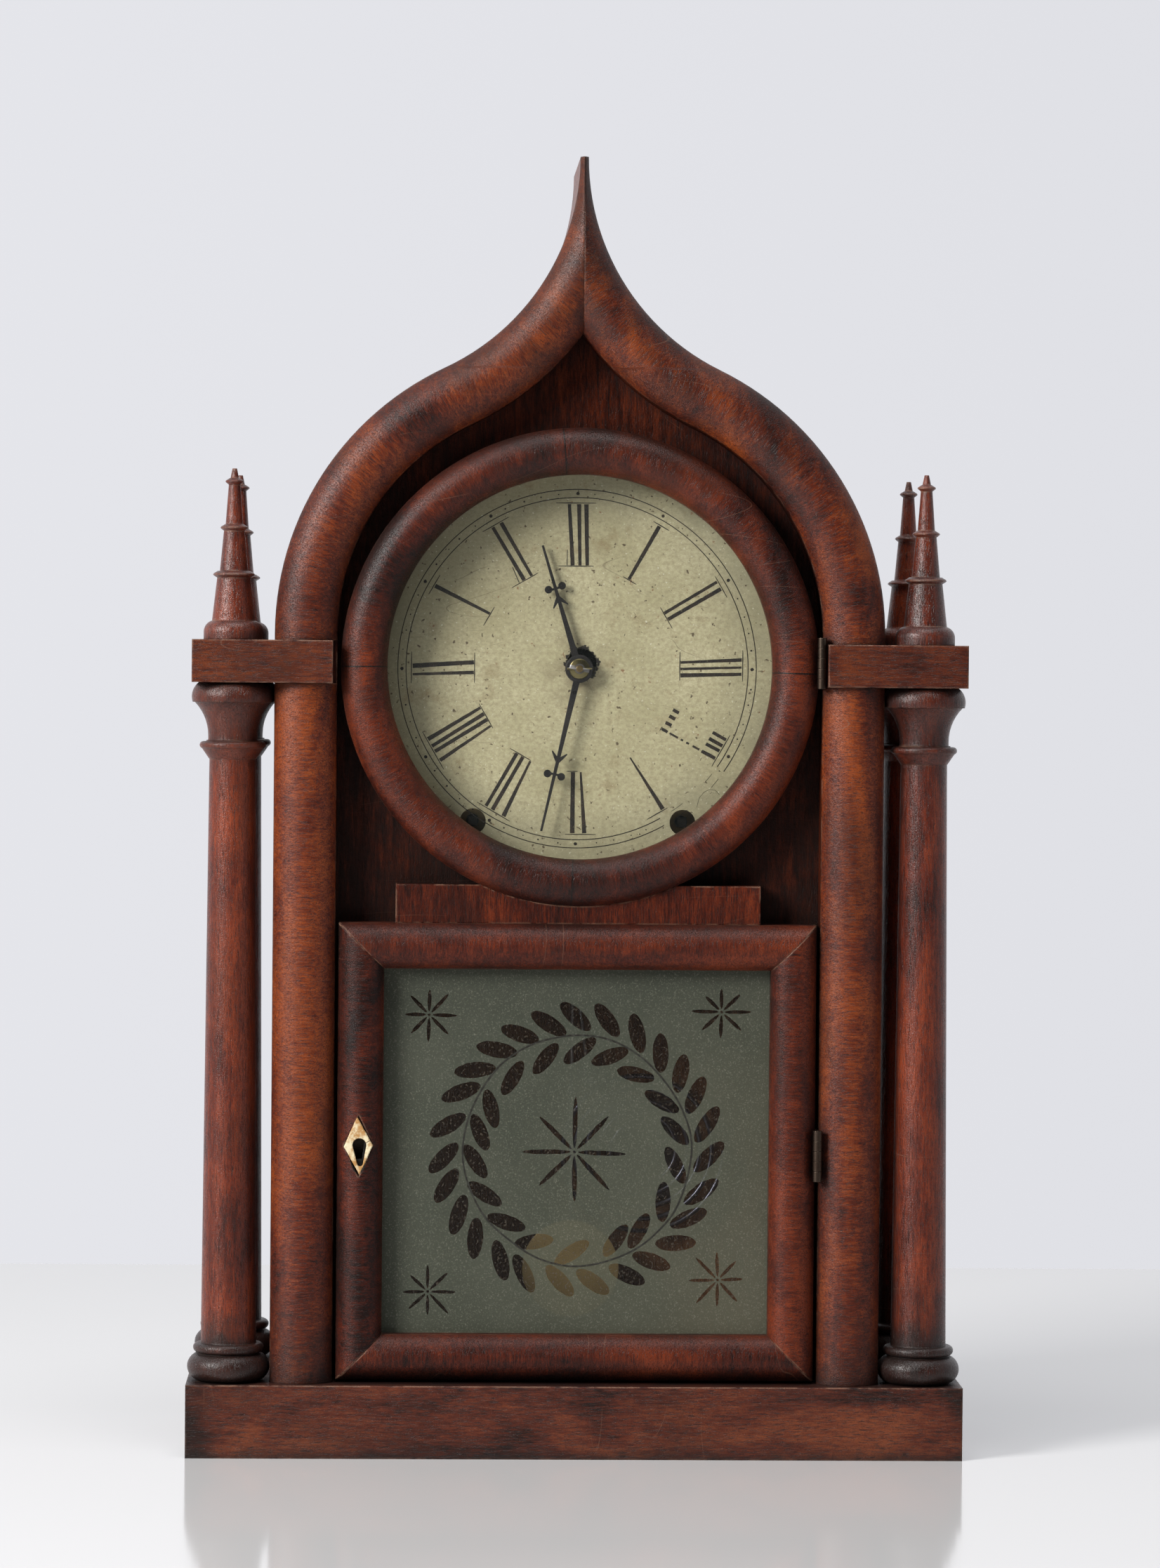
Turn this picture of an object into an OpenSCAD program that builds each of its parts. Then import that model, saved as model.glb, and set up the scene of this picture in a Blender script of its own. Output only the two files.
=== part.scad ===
// Onion top shelf clock with eight-day time and strike work, in millimetres.
// X runs to the viewer's right, Y away from the viewer and Z up, and the origin
// is the middle of the base's underside. The door and dial face -Y.

/* [Base and columns] */
// Width of the base board
base_w = 340; // [330:1:352]
// Depth of the base board
base_d = 118; // [114:1:126]
// Thickness of the base board
base_h = 32; // [26:1:38]
// Width of a column's foot and of its capital
foot_d = 36.2; // [33:0.1:38]
// Height of the rounded foot
foot_h = 12.5; // [9:0.5:15]
// Width of the bead above the foot
foot_bead_d = 31; // [27:0.1:33]
// Height of the bead above the foot
foot_bead_h = 4.2; // [3:0.1:5]
// Width of a shaft at its foot
shaft_foot_d = 24.4; // [20:0.1:26]
// Width of a shaft under its collar
shaft_top_d = 20.4; // [16:0.1:22]
// Height of a column from the base to its cap block
column_h = 306.6; // [300:1:320]
// Width of the collar between shaft and capital
collar_d = 29; // [24:0.1:30]
// Height of the collar
collar_h = 8.1; // [6:0.1:10]
// Height of the flare under the capital
flare_h = 16.7; // [14:0.1:18]
// Radius of the flare's hollow
flare_r = 21; // [20:0.5:26]
// Height of the rounded capital
capital_h = 8.7; // [6:0.1:10]

/* [Cap blocks and spires] */
// Thickness of a cap block
block_h = 18.7; // [15:0.1:24]
// Step of the cap blocks behind the base's edge
block_set = 0.6; // [0:0.1:2]
// Strip of the rail that a cap block leaves bare
block_short = 1.8; // [0.5:0.1:4]
// Width of a spire's bell foot
bell_d = 26.2; // [22:0.1:30]
// Height of the bell foot
bell_h = 8.5; // [7:0.1:11]
// Radii at the foot of the three stages
stage_foot_r = [9.6, 6.3, 3.9]; // [2:0.1:12]
// Radii at the top of the three stages
stage_top_r = [7.4, 4.6, 2.6]; // [2:0.1:12]
// Heights of the three stages
stage_h = [18.5, 17.5, 17.2]; // [8:0.1:24]
// Radii of the three sharp rings
ring_r = [9.2, 6.1, 4.1]; // [3:0.1:14]
// Height of each sharp ring
ring_h = 3; // [2.5:0.1:4]
// Height of the pin on a spire's top
tip_pin_h = 4.2; // [2:0.1:6]

/* [Case] */
// Height of the onion's tip
case_top = 569.5; // [560:0.5:590]
// Distance of the case's front behind the base's edge
front_set = 11.5; // [10:0.1:14]
// Distance of the case's back before the base's rear edge
rear_set = 14.3; // [5:0.1:18]
// Distance of the shoulder's centre from the middle
shoulder_x = 4.6; // [3:0.1:12]
// Straight wall between the cap block and the shoulder
spring_rise = 3.2; // [1:0.1:8]
// Half thickness of the onion's tip
tip_half = 1.8; // [1:0.1:4]
// Thickness of the sides and the roof
wall_t = 9; // [7:0.1:11]
// Thickness of the back board
back_t = 6; // [4:0.1:9]
// Width of the half-round moulding
rail_w = 27.4; // [25:0.1:29]
// Rise of the half-round moulding
rail_rise = 8; // [5:0.1:10]
// Depth of the frame behind the moulding
frame_t = 13.5; // [13.2:0.1:16]
// Thickness of the recessed panel
panel_t = 4; // [3:0.1:6]

/* [Door] */
// Gap between the door and the case beside it
door_gap = 1.5; // [1.5:0.1:2]
// Gap between the door and the base
door_foot_gap = 1.3; // [0.8:0.1:3]
// Width of the door's frame bars
bar_w = 20; // [17:0.1:22]
// Depth of the door's wood behind its half-round face
door_t = 13; // [12:0.1:13.1]
// Rise of the door's half-round face
bar_rise = 7; // [5:0.1:9]
// Width of the neck board
neck_w = 160; // [140:1:175]
// Height of the neck board above the square frame
neck_h = 17; // [12:0.5:20]
// Drop of the ring's centre below the centre of the onion's shoulder
ring_drop = 14; // [10:0.1:18]
// Gap between the square frame and the ring
ring_gap = 7.8; // [5:0.1:12]
// Width of the bezel ring
bezel_w = 20.4; // [17:0.1:22]
// Thickness of the glass
glass_t = 2; // [1.5:0.1:2.5]
// Depth of the glass behind the door's flat face
glass_in = 5.5; // [5:0.1:6.5]
// Width of the step that holds the glass
rebate_w = 4; // [3:0.1:5]

/* [Lock and hinges] */
// Height of the keyhole above the door's foot
key_up = 103.2; // [95:0.5:110]
// Width of the bone diamond
diamond_w = 12.8; // [11:0.1:15]
// Height of the bone diamond
diamond_h = 27; // [24:0.1:31]
// Thickness of the bone diamond
diamond_t = 1.4; // [1:0.1:2]
// Diameter of the round end of the keyhole
key_d = 5.6; // [4.5:0.1:6]
// Width, depth and height of the lock's box
lock_size = [15, 7, 30]; // [6:0.5:34]
// Throw of the bolt
bolt_throw = 3.6; // [3:0.1:4.5]
// Diameter of a hinge barrel
barrel_d = 4.2; // [3.8:0.1:4.6]
// Length of a hinge barrel
barrel_l = 22.4; // [20:0.1:26]
// Diameter of a hinge pin
hinge_pin_d = 1.8; // [1.4:0.1:2.2]
// Thickness of a hinge leaf
leaf_t = 0.7; // [0.5:0.05:0.7]
// Depth of a hinge leaf along the door's edge
leaf_seat = 7; // [5:0.5:10]
// Distance of the hinge axis before the door's flat face
hinge_out = 6; // [5.6:0.1:7]
// Heights of the hinge centres above the door's foot
hinge_up = [99.8, 315.8]; // [60:0.5:320]

/* [Dial and hands] */
// Drop of the dial's centre below the bezel's centre
dial_drop = 0.7; // [0:0.1:2]
// Lap of the square dial plate behind the ring
dial_lap = 8.6; // [6:0.1:10]
// Thickness of the dial plate
dial_t = 0.6; // [0.4:0.1:1]
// Diameter of the hole for the hands
dial_hole_d = 13; // [11:0.1:15]
// Place of that hole beside the hands' centre
dial_hole_off = [1.2, 2.4]; // [-3:0.1:3]
// Diameter of a winding hole
wind_hole_d = 11.4; // [9:0.1:13]
// Length of the hour hand
hour_l = 56.7; // [50:0.1:62]
// Length of the minute hand
minute_l = 73.4; // [66:0.1:78]
// Thickness of a hand
hand_t = 0.8; // [0.5:0.1:1.2]
// Angles of the hour and minute hands past twelve
hand_turn = [-17, -167.2]; // [-360:0.1:360]

/* [Movement] */
// Distance between the movement's plates
plate_gap = 25; // [25:0.1:28]
// Thickness of a movement plate
plate_t = 1.5; // [1.2:0.1:2]
// Distance of the front plate behind the dial
plate_in = 15; // [14.6:0.1:17]
// Diameter of a pillar
pillar_d = 7; // [5:0.1:8]
// Diameter of a wheel arbor
arbor_d = 3; // [2.4:0.1:3.4]
// Diameter of a pivot
pivot_d = 1.6; // [1.2:0.1:2]
// Diameter of a winding arbor
wind_d = 6; // [5:0.1:7]
// Clearance of a pivot in its hole
pivot_fit = 0.05; // [0.02:0.01:0.08]
// Thickness of a train wheel
wheel_t = 1.2; // [1:0.1:1.6]
// Loops of a mainspring
spring_loops = 9; // [6:1:11]
// Outer radius of a mainspring
spring_r = 31; // [28:0.5:32]
// Thickness of the mainspring's strip
spring_t = 0.6; // [0.4:0.1:0.8]

/* [Pendulum and gong] */
// Diameter of the pendulum's bob
bob_d = 43.6; // [38:0.1:50]
// Thickness of the bob
bob_t = 9; // [7:0.1:10]
// Height of the bob's centre above the base
bob_up = 43; // [38:0.5:60]
// Diameter of the pendulum's rod
rod_d = 1.8; // [1.4:0.1:2.4]
// Swing of the pendulum to each side
swing = 3; // [1:0.5:3]
// Diameter of the gong's wire
gong_wire_d = 2.4; // [1.8:0.1:3]
// Outer radius of the gong
gong_r = 38; // [34:0.5:42]
// Loops of the gong
gong_loops = 5; // [3:1:6]
// Place of the gong to the right of the middle
gong_x = 31.7; // [26:0.1:36]
// Height of the gong's centre above the base
gong_up = 95.4; // [88:0.1:105]
// Diameter of the hammer's head
hammer_d = 9; // [7:0.1:11]

/* [Hidden] */

$fn = 96;

// The case in plan and its onion outline
foot_gap = 0.1;
case_half = base_w / 2 - foot_d - foot_gap;
column_x = base_w / 2 - foot_d / 2;
column_y = base_d / 2 - foot_d / 2;
front_y = front_set - base_d / 2;
rear_y = base_d / 2 - rear_set;
block_z = base_h + column_h;
block_top = block_z + block_h;
spring_z = block_top + spring_rise;
shoulder_r = case_half - shoulder_x;
onion_h = case_top - spring_z;
tip_lead = tip_half - shoulder_x;
sweep_r = (tip_lead * tip_lead + onion_h * onion_h - shoulder_r * shoulder_r)
    / (2 * (case_half - tip_half));
sweep_x = tip_half + sweep_r;
lean = atan2(onion_h, sweep_x - shoulder_x);
panel_y = front_y + frame_t;
dial_y = panel_y + panel_t;
back_y = rear_y - back_t;
rail_x = case_half - rail_w;
block_edge = base_w / 2 - block_set;
block_front = block_set - base_d / 2;

// The door
door_half = rail_x - door_gap;
door_z = base_h + door_foot_gap;
bezel_z = spring_z - ring_drop;
door_top = bezel_z - door_half - ring_gap;
door_h = door_top - door_z;
bezel_in = door_half - bezel_w;
door_back = front_y + door_t;
glass_y = front_y + glass_in;
panel_hole_r = bezel_in + 3.6;
panel_edge = 15;
hinge_x = door_half + door_gap / 2;
hinge_y = front_y - hinge_out;
key_x = door_half - bar_w / 2 + 0.6;
key_z = door_z + key_up;
knuckles = 5;
knuckle_gap = 0.1;
leaf_play = 0.02;
slot_play = 0.1;
bolt_size = [12, 3, 9];
lock_wall = 1;
lock_x = -door_half;
lock_y = door_back - lock_size[1];
bolt_y = lock_y + 2;
bolt_at = lock_x + 0.2;
keyhole_at = [-key_x, key_z + 2.6];
strip_deep = 3.6;

// The dial and the hands, on the dial's own centre
dial_z = bezel_z - dial_drop;
dial_w = 2 * (bezel_in + dial_lap);
hour_y = dial_y - 3.4;
minute_y = dial_y - 5.8;
washer_t = 0.8;
push_fit = 0.01;
pin_d = 1;
minute_collar = 1.4;
pipe_d = 6;
washer_y = minute_y + hand_t - minute_collar - washer_t;
pin_y = washer_y - pin_d / 2 - 0.05;
arbor_end = pin_y - 1.4;

// Caps of a lantern pinion and their play beside the wheel between them
stave_cap = 0.9;
stave_play = 0.6;

// The movement: Y places of the plates and of what turns between them
plate_front_y = dial_y + dial_t + plate_in;
gap_front = plate_front_y + plate_t;
gap_back = gap_front + plate_gap;
great_y = gap_front + stave_play + stave_cap + 0.7;
great_t = 2;
ratchet_y = great_y + great_t + 0.2;
ratchet_t = 1.8;
spring_y = ratchet_y + ratchet_t + 1;
spring_w = 11.6;
spring_hub = 4.5;
ratchet_n = 16;
second_y = gap_back - 5;
centre_y = gap_front + 9;
third_y = gap_front + 4.4;
escape_y = gap_back - 10.5;
minute_wheel_y = plate_front_y - 2.2;
hour_wheel_y = plate_front_y - 5.4;
count_y = plate_front_y - 2.6;

// Tooth size of the great, second, centre, third and strike wheels
train_m = [0.95, 1, 0.75, 0.65, 0.6];

// Teeth of the wheels and staves of the lantern pinions that they turn
great_n = 84;
second_leaf = 12;
second_n = 66;
centre_leaf = 12;
centre_n = 60;
third_leaf = 8;
third_n = 56;
escape_leaf = 8;
escape_n = 36;
pin_n = 72;
pin_leaf = 12;
fly_leaf = 8;
pin_circle = 18.6;
lift_pin_l = 2.2;
cannon_n = 12;
minute_n = 36;
minute_leaf = 10;
hour_n = 40;
motion_m = 0.75;
count_n = 90;
count_leaf = 12;
count_m = 0.44;

function mesh_r(m, n1, n2) = m * (n1 + n2) / 2;
function polar(r, a) = [r * cos(a), r * sin(a)];

// Arbor places as X and Z from the dial's centre, each a mesh away from the last
second_turn = -40;
great_turn = -68.9;
third_turn = 128;
second_at = polar(mesh_r(train_m[1], second_n, centre_leaf), second_turn);
great_at = second_at + polar(mesh_r(train_m[0], great_n, second_leaf), great_turn);
third_at = polar(mesh_r(train_m[2], centre_n, third_leaf), third_turn);
escape_reach = mesh_r(train_m[3], third_n, escape_leaf);
escape_turn = acos(-third_at[0] / escape_reach);
escape_at = third_at + polar(escape_reach, escape_turn);
escape_r = 14;
pallet_play = 1.4;
verge_at = [0, escape_at[1] + escape_r + 8];
strike_great_at = [-great_at[0], great_at[1]];
pin_at = [-second_at[0], second_at[1]];
fly_turn = 110;
fly_at = pin_at + polar(mesh_r(train_m[4], pin_n, fly_leaf), fly_turn);
minute_turn = -35;
minute_at = polar(mesh_r(motion_m, cannon_n, minute_n), minute_turn);
hour_m = 2 * mesh_r(motion_m, cannon_n, minute_n) / (minute_leaf + hour_n);
count_turn = 125;
count_at = pin_at + polar(mesh_r(count_m, count_n, count_leaf), count_turn);
swing_up = verge_at[1] + 1.5;
hammer_up = great_at[1] + 22;
rod_clear = 3.2;
hammer_at = [
    -(swing_up - hammer_up) * tan(swing) - (rod_d + pivot_d) / 2 - rod_clear, hammer_up
];
pillar_half = 80;
plate_low = great_at[1] - 37;
plate_high = verge_at[1] + 14;
plate_bend = great_at[1] + 58;
plate_rim = 7;
side_window_r = 11;
low_window_r = 7;
pillar_low = plate_low + 6;
pillar_top_half = 30;
pillar_places = [
    [-pillar_half, pillar_low], [pillar_half, pillar_low], [0, pillar_low],
    [-pillar_top_half, plate_high - 6], [pillar_top_half, plate_high - 6]
];
winders = [great_at, strike_great_at];

// The pendulum and the gong hang behind the back plate
plate_back_y = gap_back;
cock_y = plate_back_y + plate_t;
cock_w = 8;
cock_h = 9;
cock_deep = 8;
rod_y = cock_y + 5.5;
ribbon_t = 0.3;
ribbon_w = 4;
ribbon_l = 8;
hang_gap = 0.2;
crutch_y = cock_y + 1.2;
crutch_l = 40;
crutch_t = 1.2;
loop_r = 3;
strip_w = 18;
strip_short = 40;
swing_z = dial_z + swing_up;
bob_z = base_h + bob_up;
gong_z = base_h + gong_up;
gong_y = back_y - 8;
boss_r = 6;
gong_grip = 3;
gong_start_r = boss_r + 2 * gong_wire_d;
gong_pitch = (gong_r - gong_start_r) / gong_loops;
hammer_gap = 1.5;
strike_turn = 125;

// Shapes that several pieces share

// Slab with its front face at y, drawn in X and Z
module slab(y, depth) {
    translate([0, y + depth, 0])
        rotate([90, 0, 0])
            linear_extrude(depth)
                children();
}

// Solid turned round the Y axis through at, its height running towards the viewer
module turned(at, y) {
    translate([at[0], y, at[1]])
        rotate([90, 0, 0])
            rotate_extrude()
                children();
}

// The same place on the movement, for shapes drawn from the dial's centre
module on_dial(at) {
    translate([at[0], 0, dial_z + at[1]])
        children();
}

module both_sides() {
    children();
    mirror([1, 0, 0])
        children();
}

// Segment of a circle standing on the X axis, w wide and rise high
module half_round(w, rise) {
    r = (w * w / 4 + rise * rise) / (2 * rise);
    intersection() {
        translate([w / 2, rise - r])
            circle(r);
        square([w, rise]);
    }
}

// Right half of the onion outline, drawn inside the case's face by inset
module onion_half(inset) {
    shoulder = [shoulder_x, spring_z];
    sweep = [sweep_x, case_top];
    intersection() {
        square([case_half, case_top]);
        union() {
            translate([0, base_h])
                square([case_half - inset, spring_z - base_h]);
            translate(shoulder)
                circle(shoulder_r - inset, $fn = 180);
            difference() {
                polygon([[-base_w, spring_z], shoulder, sweep, [-base_w, case_top]]);
                translate(sweep)
                    circle(sweep_r + inset, $fn = 180);
            }
        }
    }
}

module onion(inset) {
    both_sides()
        onion_half(inset);
}

module above(z) {
    intersection() {
        children();
        translate([-base_w, z])
            square([2 * base_w, case_top]);
    }
}

// The case

module base_board() {
    color("saddlebrown")
        translate([-base_w / 2, -base_d / 2, 0])
            cube([base_w, base_d, base_h]);
}

module case_side() {
    color("sienna")
        translate([case_half - wall_t, front_y, base_h])
            cube([wall_t, rear_y - front_y, block_top - base_h]);
}

module roof() {
    color("sienna")
        slab(front_y, rear_y - front_y)
            above(block_top)
                difference() {
                    onion_half(0);
                    onion_half(wall_t);
                }
}

module back_board() {
    color("peru")
        slab(back_y, back_t)
            onion(wall_t);
}

module front_frame() {
    color("saddlebrown")
        difference() {
            slab(front_y, frame_t)
                difference() {
                    onion(wall_t);
                    onion(rail_w);
                }
            translate([-rail_x - bolt_throw, 0, 0])
                bolt_slot(bolt_throw + 1);
        }
}

// Slot for the bolt, l long from X = 0
module bolt_slot(l) {
    translate([0, bolt_y - slot_play, key_z - bolt_size[2] / 2 - slot_play])
        cube([l, bolt_size[1] + 2 * slot_play, bolt_size[2] + 2 * slot_play]);
}

module front_panel() {
    color("brown")
        slab(panel_y, panel_t)
            difference() {
                onion(wall_t);
                translate([0, dial_z])
                    circle(panel_hole_r);
                translate([-bezel_in, door_z + panel_edge])
                    square([2 * bezel_in, door_h - 2 * panel_edge]);
            }
}

// Straight half-round moulding below the cap block
module rail() {
    color("brown")
        translate([rail_x, front_y, base_h])
            mirror([0, 1, 0])
                linear_extrude(block_z - base_h)
                    half_round(rail_w, rail_rise);
}

// Half-round moulding that follows the onion: two lengths with a fine joint between
// them, the upper one mitred at the tip
module arch_moulding() {
    joint_angle = 0.01;
    color("brown")
        intersection() {
            translate([0, front_y - 2 * rail_rise, 0])
                cube([base_w, 3 * rail_rise, base_w + case_top]);
            union() {
                translate([rail_x, front_y, block_top])
                    mirror([0, 1, 0])
                        linear_extrude(spring_rise)
                            half_round(rail_w, rail_rise);
                translate([shoulder_x, front_y, spring_z])
                    rotate([90, 0, 0])
                        rotate_extrude(angle = lean - joint_angle, $fn = 180)
                            translate([shoulder_r - rail_w, 0])
                                half_round(rail_w, rail_rise);
                translate([sweep_x, front_y, case_top])
                    rotate([90, 0, 0])
                        rotate([0, 0, 180])
                            rotate_extrude(angle = lean, $fn = 180)
                                translate([sweep_r, 0])
                                    half_round(rail_w, rail_rise);
            }
        }
}

// Board over both columns, with a tongue that crosses the moulding
module cap_block() {
    color("brown")
        union() {
            translate([case_half, block_front, block_z])
                cube([block_edge - case_half, -2 * block_front, block_h]);
            translate([rail_x + block_short, block_front, block_z])
                cube([case_half - rail_x - block_short + 1, front_y - block_front, block_h]);
        }
}

// Outline of a column from its foot, as radius and height
module column_outline() {
    collar_z = column_h - capital_h - flare_h - collar_h;
    flare_z = collar_z + collar_h;
    capital_z = column_h - capital_h;
    capital_round = 8;
    neck_r = collar_d / 2 - 3.7;
    round_bar(foot_d / 2, foot_h, 0);
    round_bar(foot_bead_d / 2, foot_bead_h, foot_h);
    polygon([
        [0, foot_h], [shaft_foot_d / 2, foot_h],
        [shaft_top_d / 2, collar_z + 1], [0, collar_z + 1]
    ]);
    polygon([
        [0, collar_z], [shaft_top_d / 2 + 0.2, collar_z],
        [collar_d / 2 - 0.9, collar_z + 0.58 * collar_h], [0, collar_z + 0.58 * collar_h]
    ]);
    round_bar(collar_d / 2, 0.4 * collar_h, collar_z + 0.54 * collar_h);
    translate([0, flare_z - 0.1 * collar_h])
        square([neck_r + 0.8, 0.1 * collar_h]);
    difference() {
        translate([0, flare_z - 1])
            square([neck_r + flare_r, flare_h + 1.1]);
        translate([neck_r + flare_r, flare_z + 2])
            circle(flare_r);
        translate([neck_r, flare_z - 2])
            square([flare_r + 1, 4]);
    }
    intersection() {
        translate([0, capital_z])
            square([foot_d / 2, capital_h]);
        union() {
            translate([0, capital_z])
                square([foot_d / 2 - capital_round, capital_h]);
            translate([foot_d / 2 - capital_round, capital_z + 2.4])
                circle(capital_round);
        }
    }
}

// Bar with a half-round edge, as turned in a lathe
module round_bar(r, h, z) {
    translate([0, z])
        square([r - h / 2, h]);
    translate([r - h / 2, z + h / 2])
        circle(h / 2, $fn = 48);
}

module columns() {
    color("saddlebrown")
        for (y = [-column_y, column_y])
            translate([column_x, y, base_h])
                rotate_extrude()
                    intersection() {
                        column_outline();
                        square([foot_d, column_h]);
                    }
}

function stage_z(i) = bell_h + (i == 0 ? 0 : stage_z(i - 1) - bell_h + stage_h[i - 1] + ring_h);

// Outline of a spire: a bell, three stages each under a sharp ring, and a pin
module spire_outline() {
    last = len(stage_h) - 1;
    pin_z = stage_z(last) + stage_h[last] + ring_h;
    bell_round = bell_h * 0.6;
    square([bell_d / 2, bell_h - bell_round]);
    translate([bell_d / 2 - bell_round, bell_h - bell_round])
        circle(bell_round, $fn = 48);
    square([bell_d / 2 - bell_round, bell_h]);
    for (i = [0:last]) {
        z = stage_z(i);
        top = z + stage_h[i];
        polygon([[0, z - 1], [stage_foot_r[i], z - 1], [stage_top_r[i], top], [0, top]]);
        polygon([
            [0, top], [stage_top_r[i] - 0.1, top], [ring_r[i] - 0.5, top + ring_h * 0.3],
            [ring_r[i], top + ring_h * 0.45], [ring_r[i] - 0.3, top + ring_h * 0.65],
            [ring_r[i] - 2, top + ring_h], [0, top + ring_h]
        ]);
    }
    polygon([[0, pin_z - 0.1], [1.9, pin_z - 0.1], [1, pin_z + tip_pin_h], [0, pin_z + tip_pin_h]]);
}

module spires() {
    color("saddlebrown")
        for (y = [-column_y, column_y])
            translate([column_x, y, block_top])
                rotate_extrude()
                    intersection() {
                        spire_outline();
                        square([bell_d, base_w]);
                    }
}

// The door

// Section of a door bar from its outer edge: half-round face, square back and rebate
module bar_section(w) {
    half_round(w, bar_rise);
    difference() {
        translate([0, -door_t])
            square([w, door_t + 0.01]);
        translate([w - rebate_w, -door_t - 1])
            square([rebate_w + 1, door_t - glass_in + 1]);
    }
}

// Bar along the door's edge, mitred at both ends, with its outer edge on X = 0
module door_bar(l) {
    color("brown")
        intersection() {
            mirror([0, 1, 0])
                linear_extrude(l)
                    bar_section(bar_w);
            translate([0, door_t + 1, 0])
                rotate([90, 0, 0])
                    linear_extrude(door_t + bar_rise + 2)
                        polygon([[0, 0], [bar_w, bar_w], [bar_w, l - bar_w], [0, l]]);
        }
}

module keyhole_outline() {
    circle(d = key_d);
    polygon([
        [-key_d * 0.45, -1], [key_d * 0.45, -1], [key_d * 0.28, -8.4], [-key_d * 0.28, -8.4]
    ]);
}

module door_stile_left() {
    color("brown")
        difference() {
            translate([-door_half, front_y, door_z])
                door_bar(door_h);
            diamond_recess();
            slab(front_y - bar_rise - 1, door_t + bar_rise)
                translate(keyhole_at)
                    keyhole_outline();
            lock_space();
        }
}

module door_stile_right() {
    color("brown")
        translate([door_half, front_y, door_z])
            mirror([1, 0, 0])
                door_bar(door_h);
}

module door_rail_top() {
    color("brown")
        translate([door_half, front_y, door_top])
            rotate([0, 90, 0])
                mirror([0, 0, 1])
                    door_bar(2 * door_half);
}

module door_rail_bottom() {
    color("brown")
        translate([door_half, front_y, door_z])
            mirror([0, 0, 1])
                rotate([0, 90, 0])
                    mirror([0, 0, 1])
                        door_bar(2 * door_half);
}

module door_neck() {
    color("brown")
        slab(front_y, door_t)
            difference() {
                translate([-neck_w / 2, door_top])
                    square([neck_w, neck_h]);
                translate([0, bezel_z])
                    circle(door_half);
            }
}

module bezel_ring() {
    color("brown")
        turned([0, bezel_z], front_y)
            translate([door_half, 0])
                mirror([1, 0])
                    bar_section(bezel_w);
}

module dial_glass() {
    color("lightcyan", 0.4)
        slab(glass_y, glass_t)
            translate([0, bezel_z])
                circle(bezel_in + rebate_w - 0.1);
}

module tablet_glass() {
    play = 0.1;
    low = door_z + bar_w - rebate_w + play;
    half = door_half - bar_w + rebate_w - play;
    color("darkseagreen", 0.6)
        slab(glass_y, glass_t)
            translate([-half, low])
                square([2 * half, door_top - bar_w + rebate_w - play - low]);
}

// Thin strips that hold the tablet in and the putty that holds the dial glass
module glass_strips() {
    y = glass_y + glass_t;
    low = door_z + bar_w - rebate_w;
    half = door_half - bar_w + rebate_w;
    high = door_top - bar_w + rebate_w;
    color("saddlebrown")
        slab(y, strip_deep)
            difference() {
                translate([-half, low])
                    square([2 * half, high - low]);
                translate([rebate_w - half, low + rebate_w])
                    square([2 * (half - rebate_w), high - low - 2 * rebate_w]);
            }
    color("wheat")
        turned([0, bezel_z], y)
            polygon([
                [bezel_in + rebate_w, 0], [bezel_in + 0.4, 0], [bezel_in + rebate_w, -strip_deep]
            ]);
}

// Round rod inside the stile's face, in from it by inset
module face_rod(inset) {
    face_r = (bar_w * bar_w / 4 + bar_rise * bar_rise) / (2 * bar_rise);
    translate([bar_w / 2 - door_half, front_y - bar_rise + face_r, door_z])
        cylinder(r = face_r - inset, h = door_h);
}

// Place of the bone diamond, open to the front
module diamond_recess() {
    difference() {
        slab(front_y - bar_rise - 1, bar_rise + 1)
            translate([-key_x, key_z])
                polygon([
                    [0, diamond_h / 2], [diamond_w / 2, 0], [0, -diamond_h / 2], [-diamond_w / 2, 0]
                ]);
        face_rod(diamond_t);
    }
}

// Bone diamond flush with the stile's round face
module escutcheon() {
    color("ivory")
        difference() {
            intersection() {
                diamond_recess();
                face_rod(0);
            }
            slab(front_y - bar_rise - 1, bar_rise + 2)
                translate(keyhole_at)
                    keyhole_outline();
        }
}

// Pocket in the stile's back that takes the lock
module lock_space() {
    translate([lock_x - 1, lock_y, key_z - lock_size[2] / 2])
        cube([lock_size[0] + 1, lock_size[1] + 1, lock_size[2]]);
}

// Iron box of the lock, open for its bolt at the door's edge
module lock_case() {
    walls = 2 * lock_wall * [1, 1, 1];
    color("dimgray")
        difference() {
            translate([lock_x, lock_y, key_z - lock_size[2] / 2])
                cube(lock_size);
            translate([lock_x, lock_y, key_z - lock_size[2] / 2] + walls / 2)
                cube(lock_size - walls);
            translate([lock_x - 1, 0, 0])
                bolt_slot(lock_wall + 2);
            slab(lock_y - 1, lock_wall + 2)
                translate(keyhole_at)
                    keyhole_outline();
        }
}

// Bolt with the notch that the key turns in, drawn back into the lock
module lock_bolt() {
    color("silver")
        difference() {
            translate([bolt_at, bolt_y, key_z - bolt_size[2] / 2])
                cube(bolt_size);
            slab(bolt_y - 1, bolt_size[1] + 2)
                translate([-key_x, key_z - bolt_size[2] / 2])
                    circle(r = 2.4, $fn = 48);
        }
}

// Knuckles number first, first + 2 and so on of every hinge
module hinge_knuckles(first) {
    step = barrel_l / knuckles;
    for (up = hinge_up)
        for (i = [first:2:knuckles - 1])
            translate([hinge_x, hinge_y, door_z + up - barrel_l / 2 + i * step])
                cylinder(d = barrel_d, h = step - knuckle_gap);
}

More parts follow.
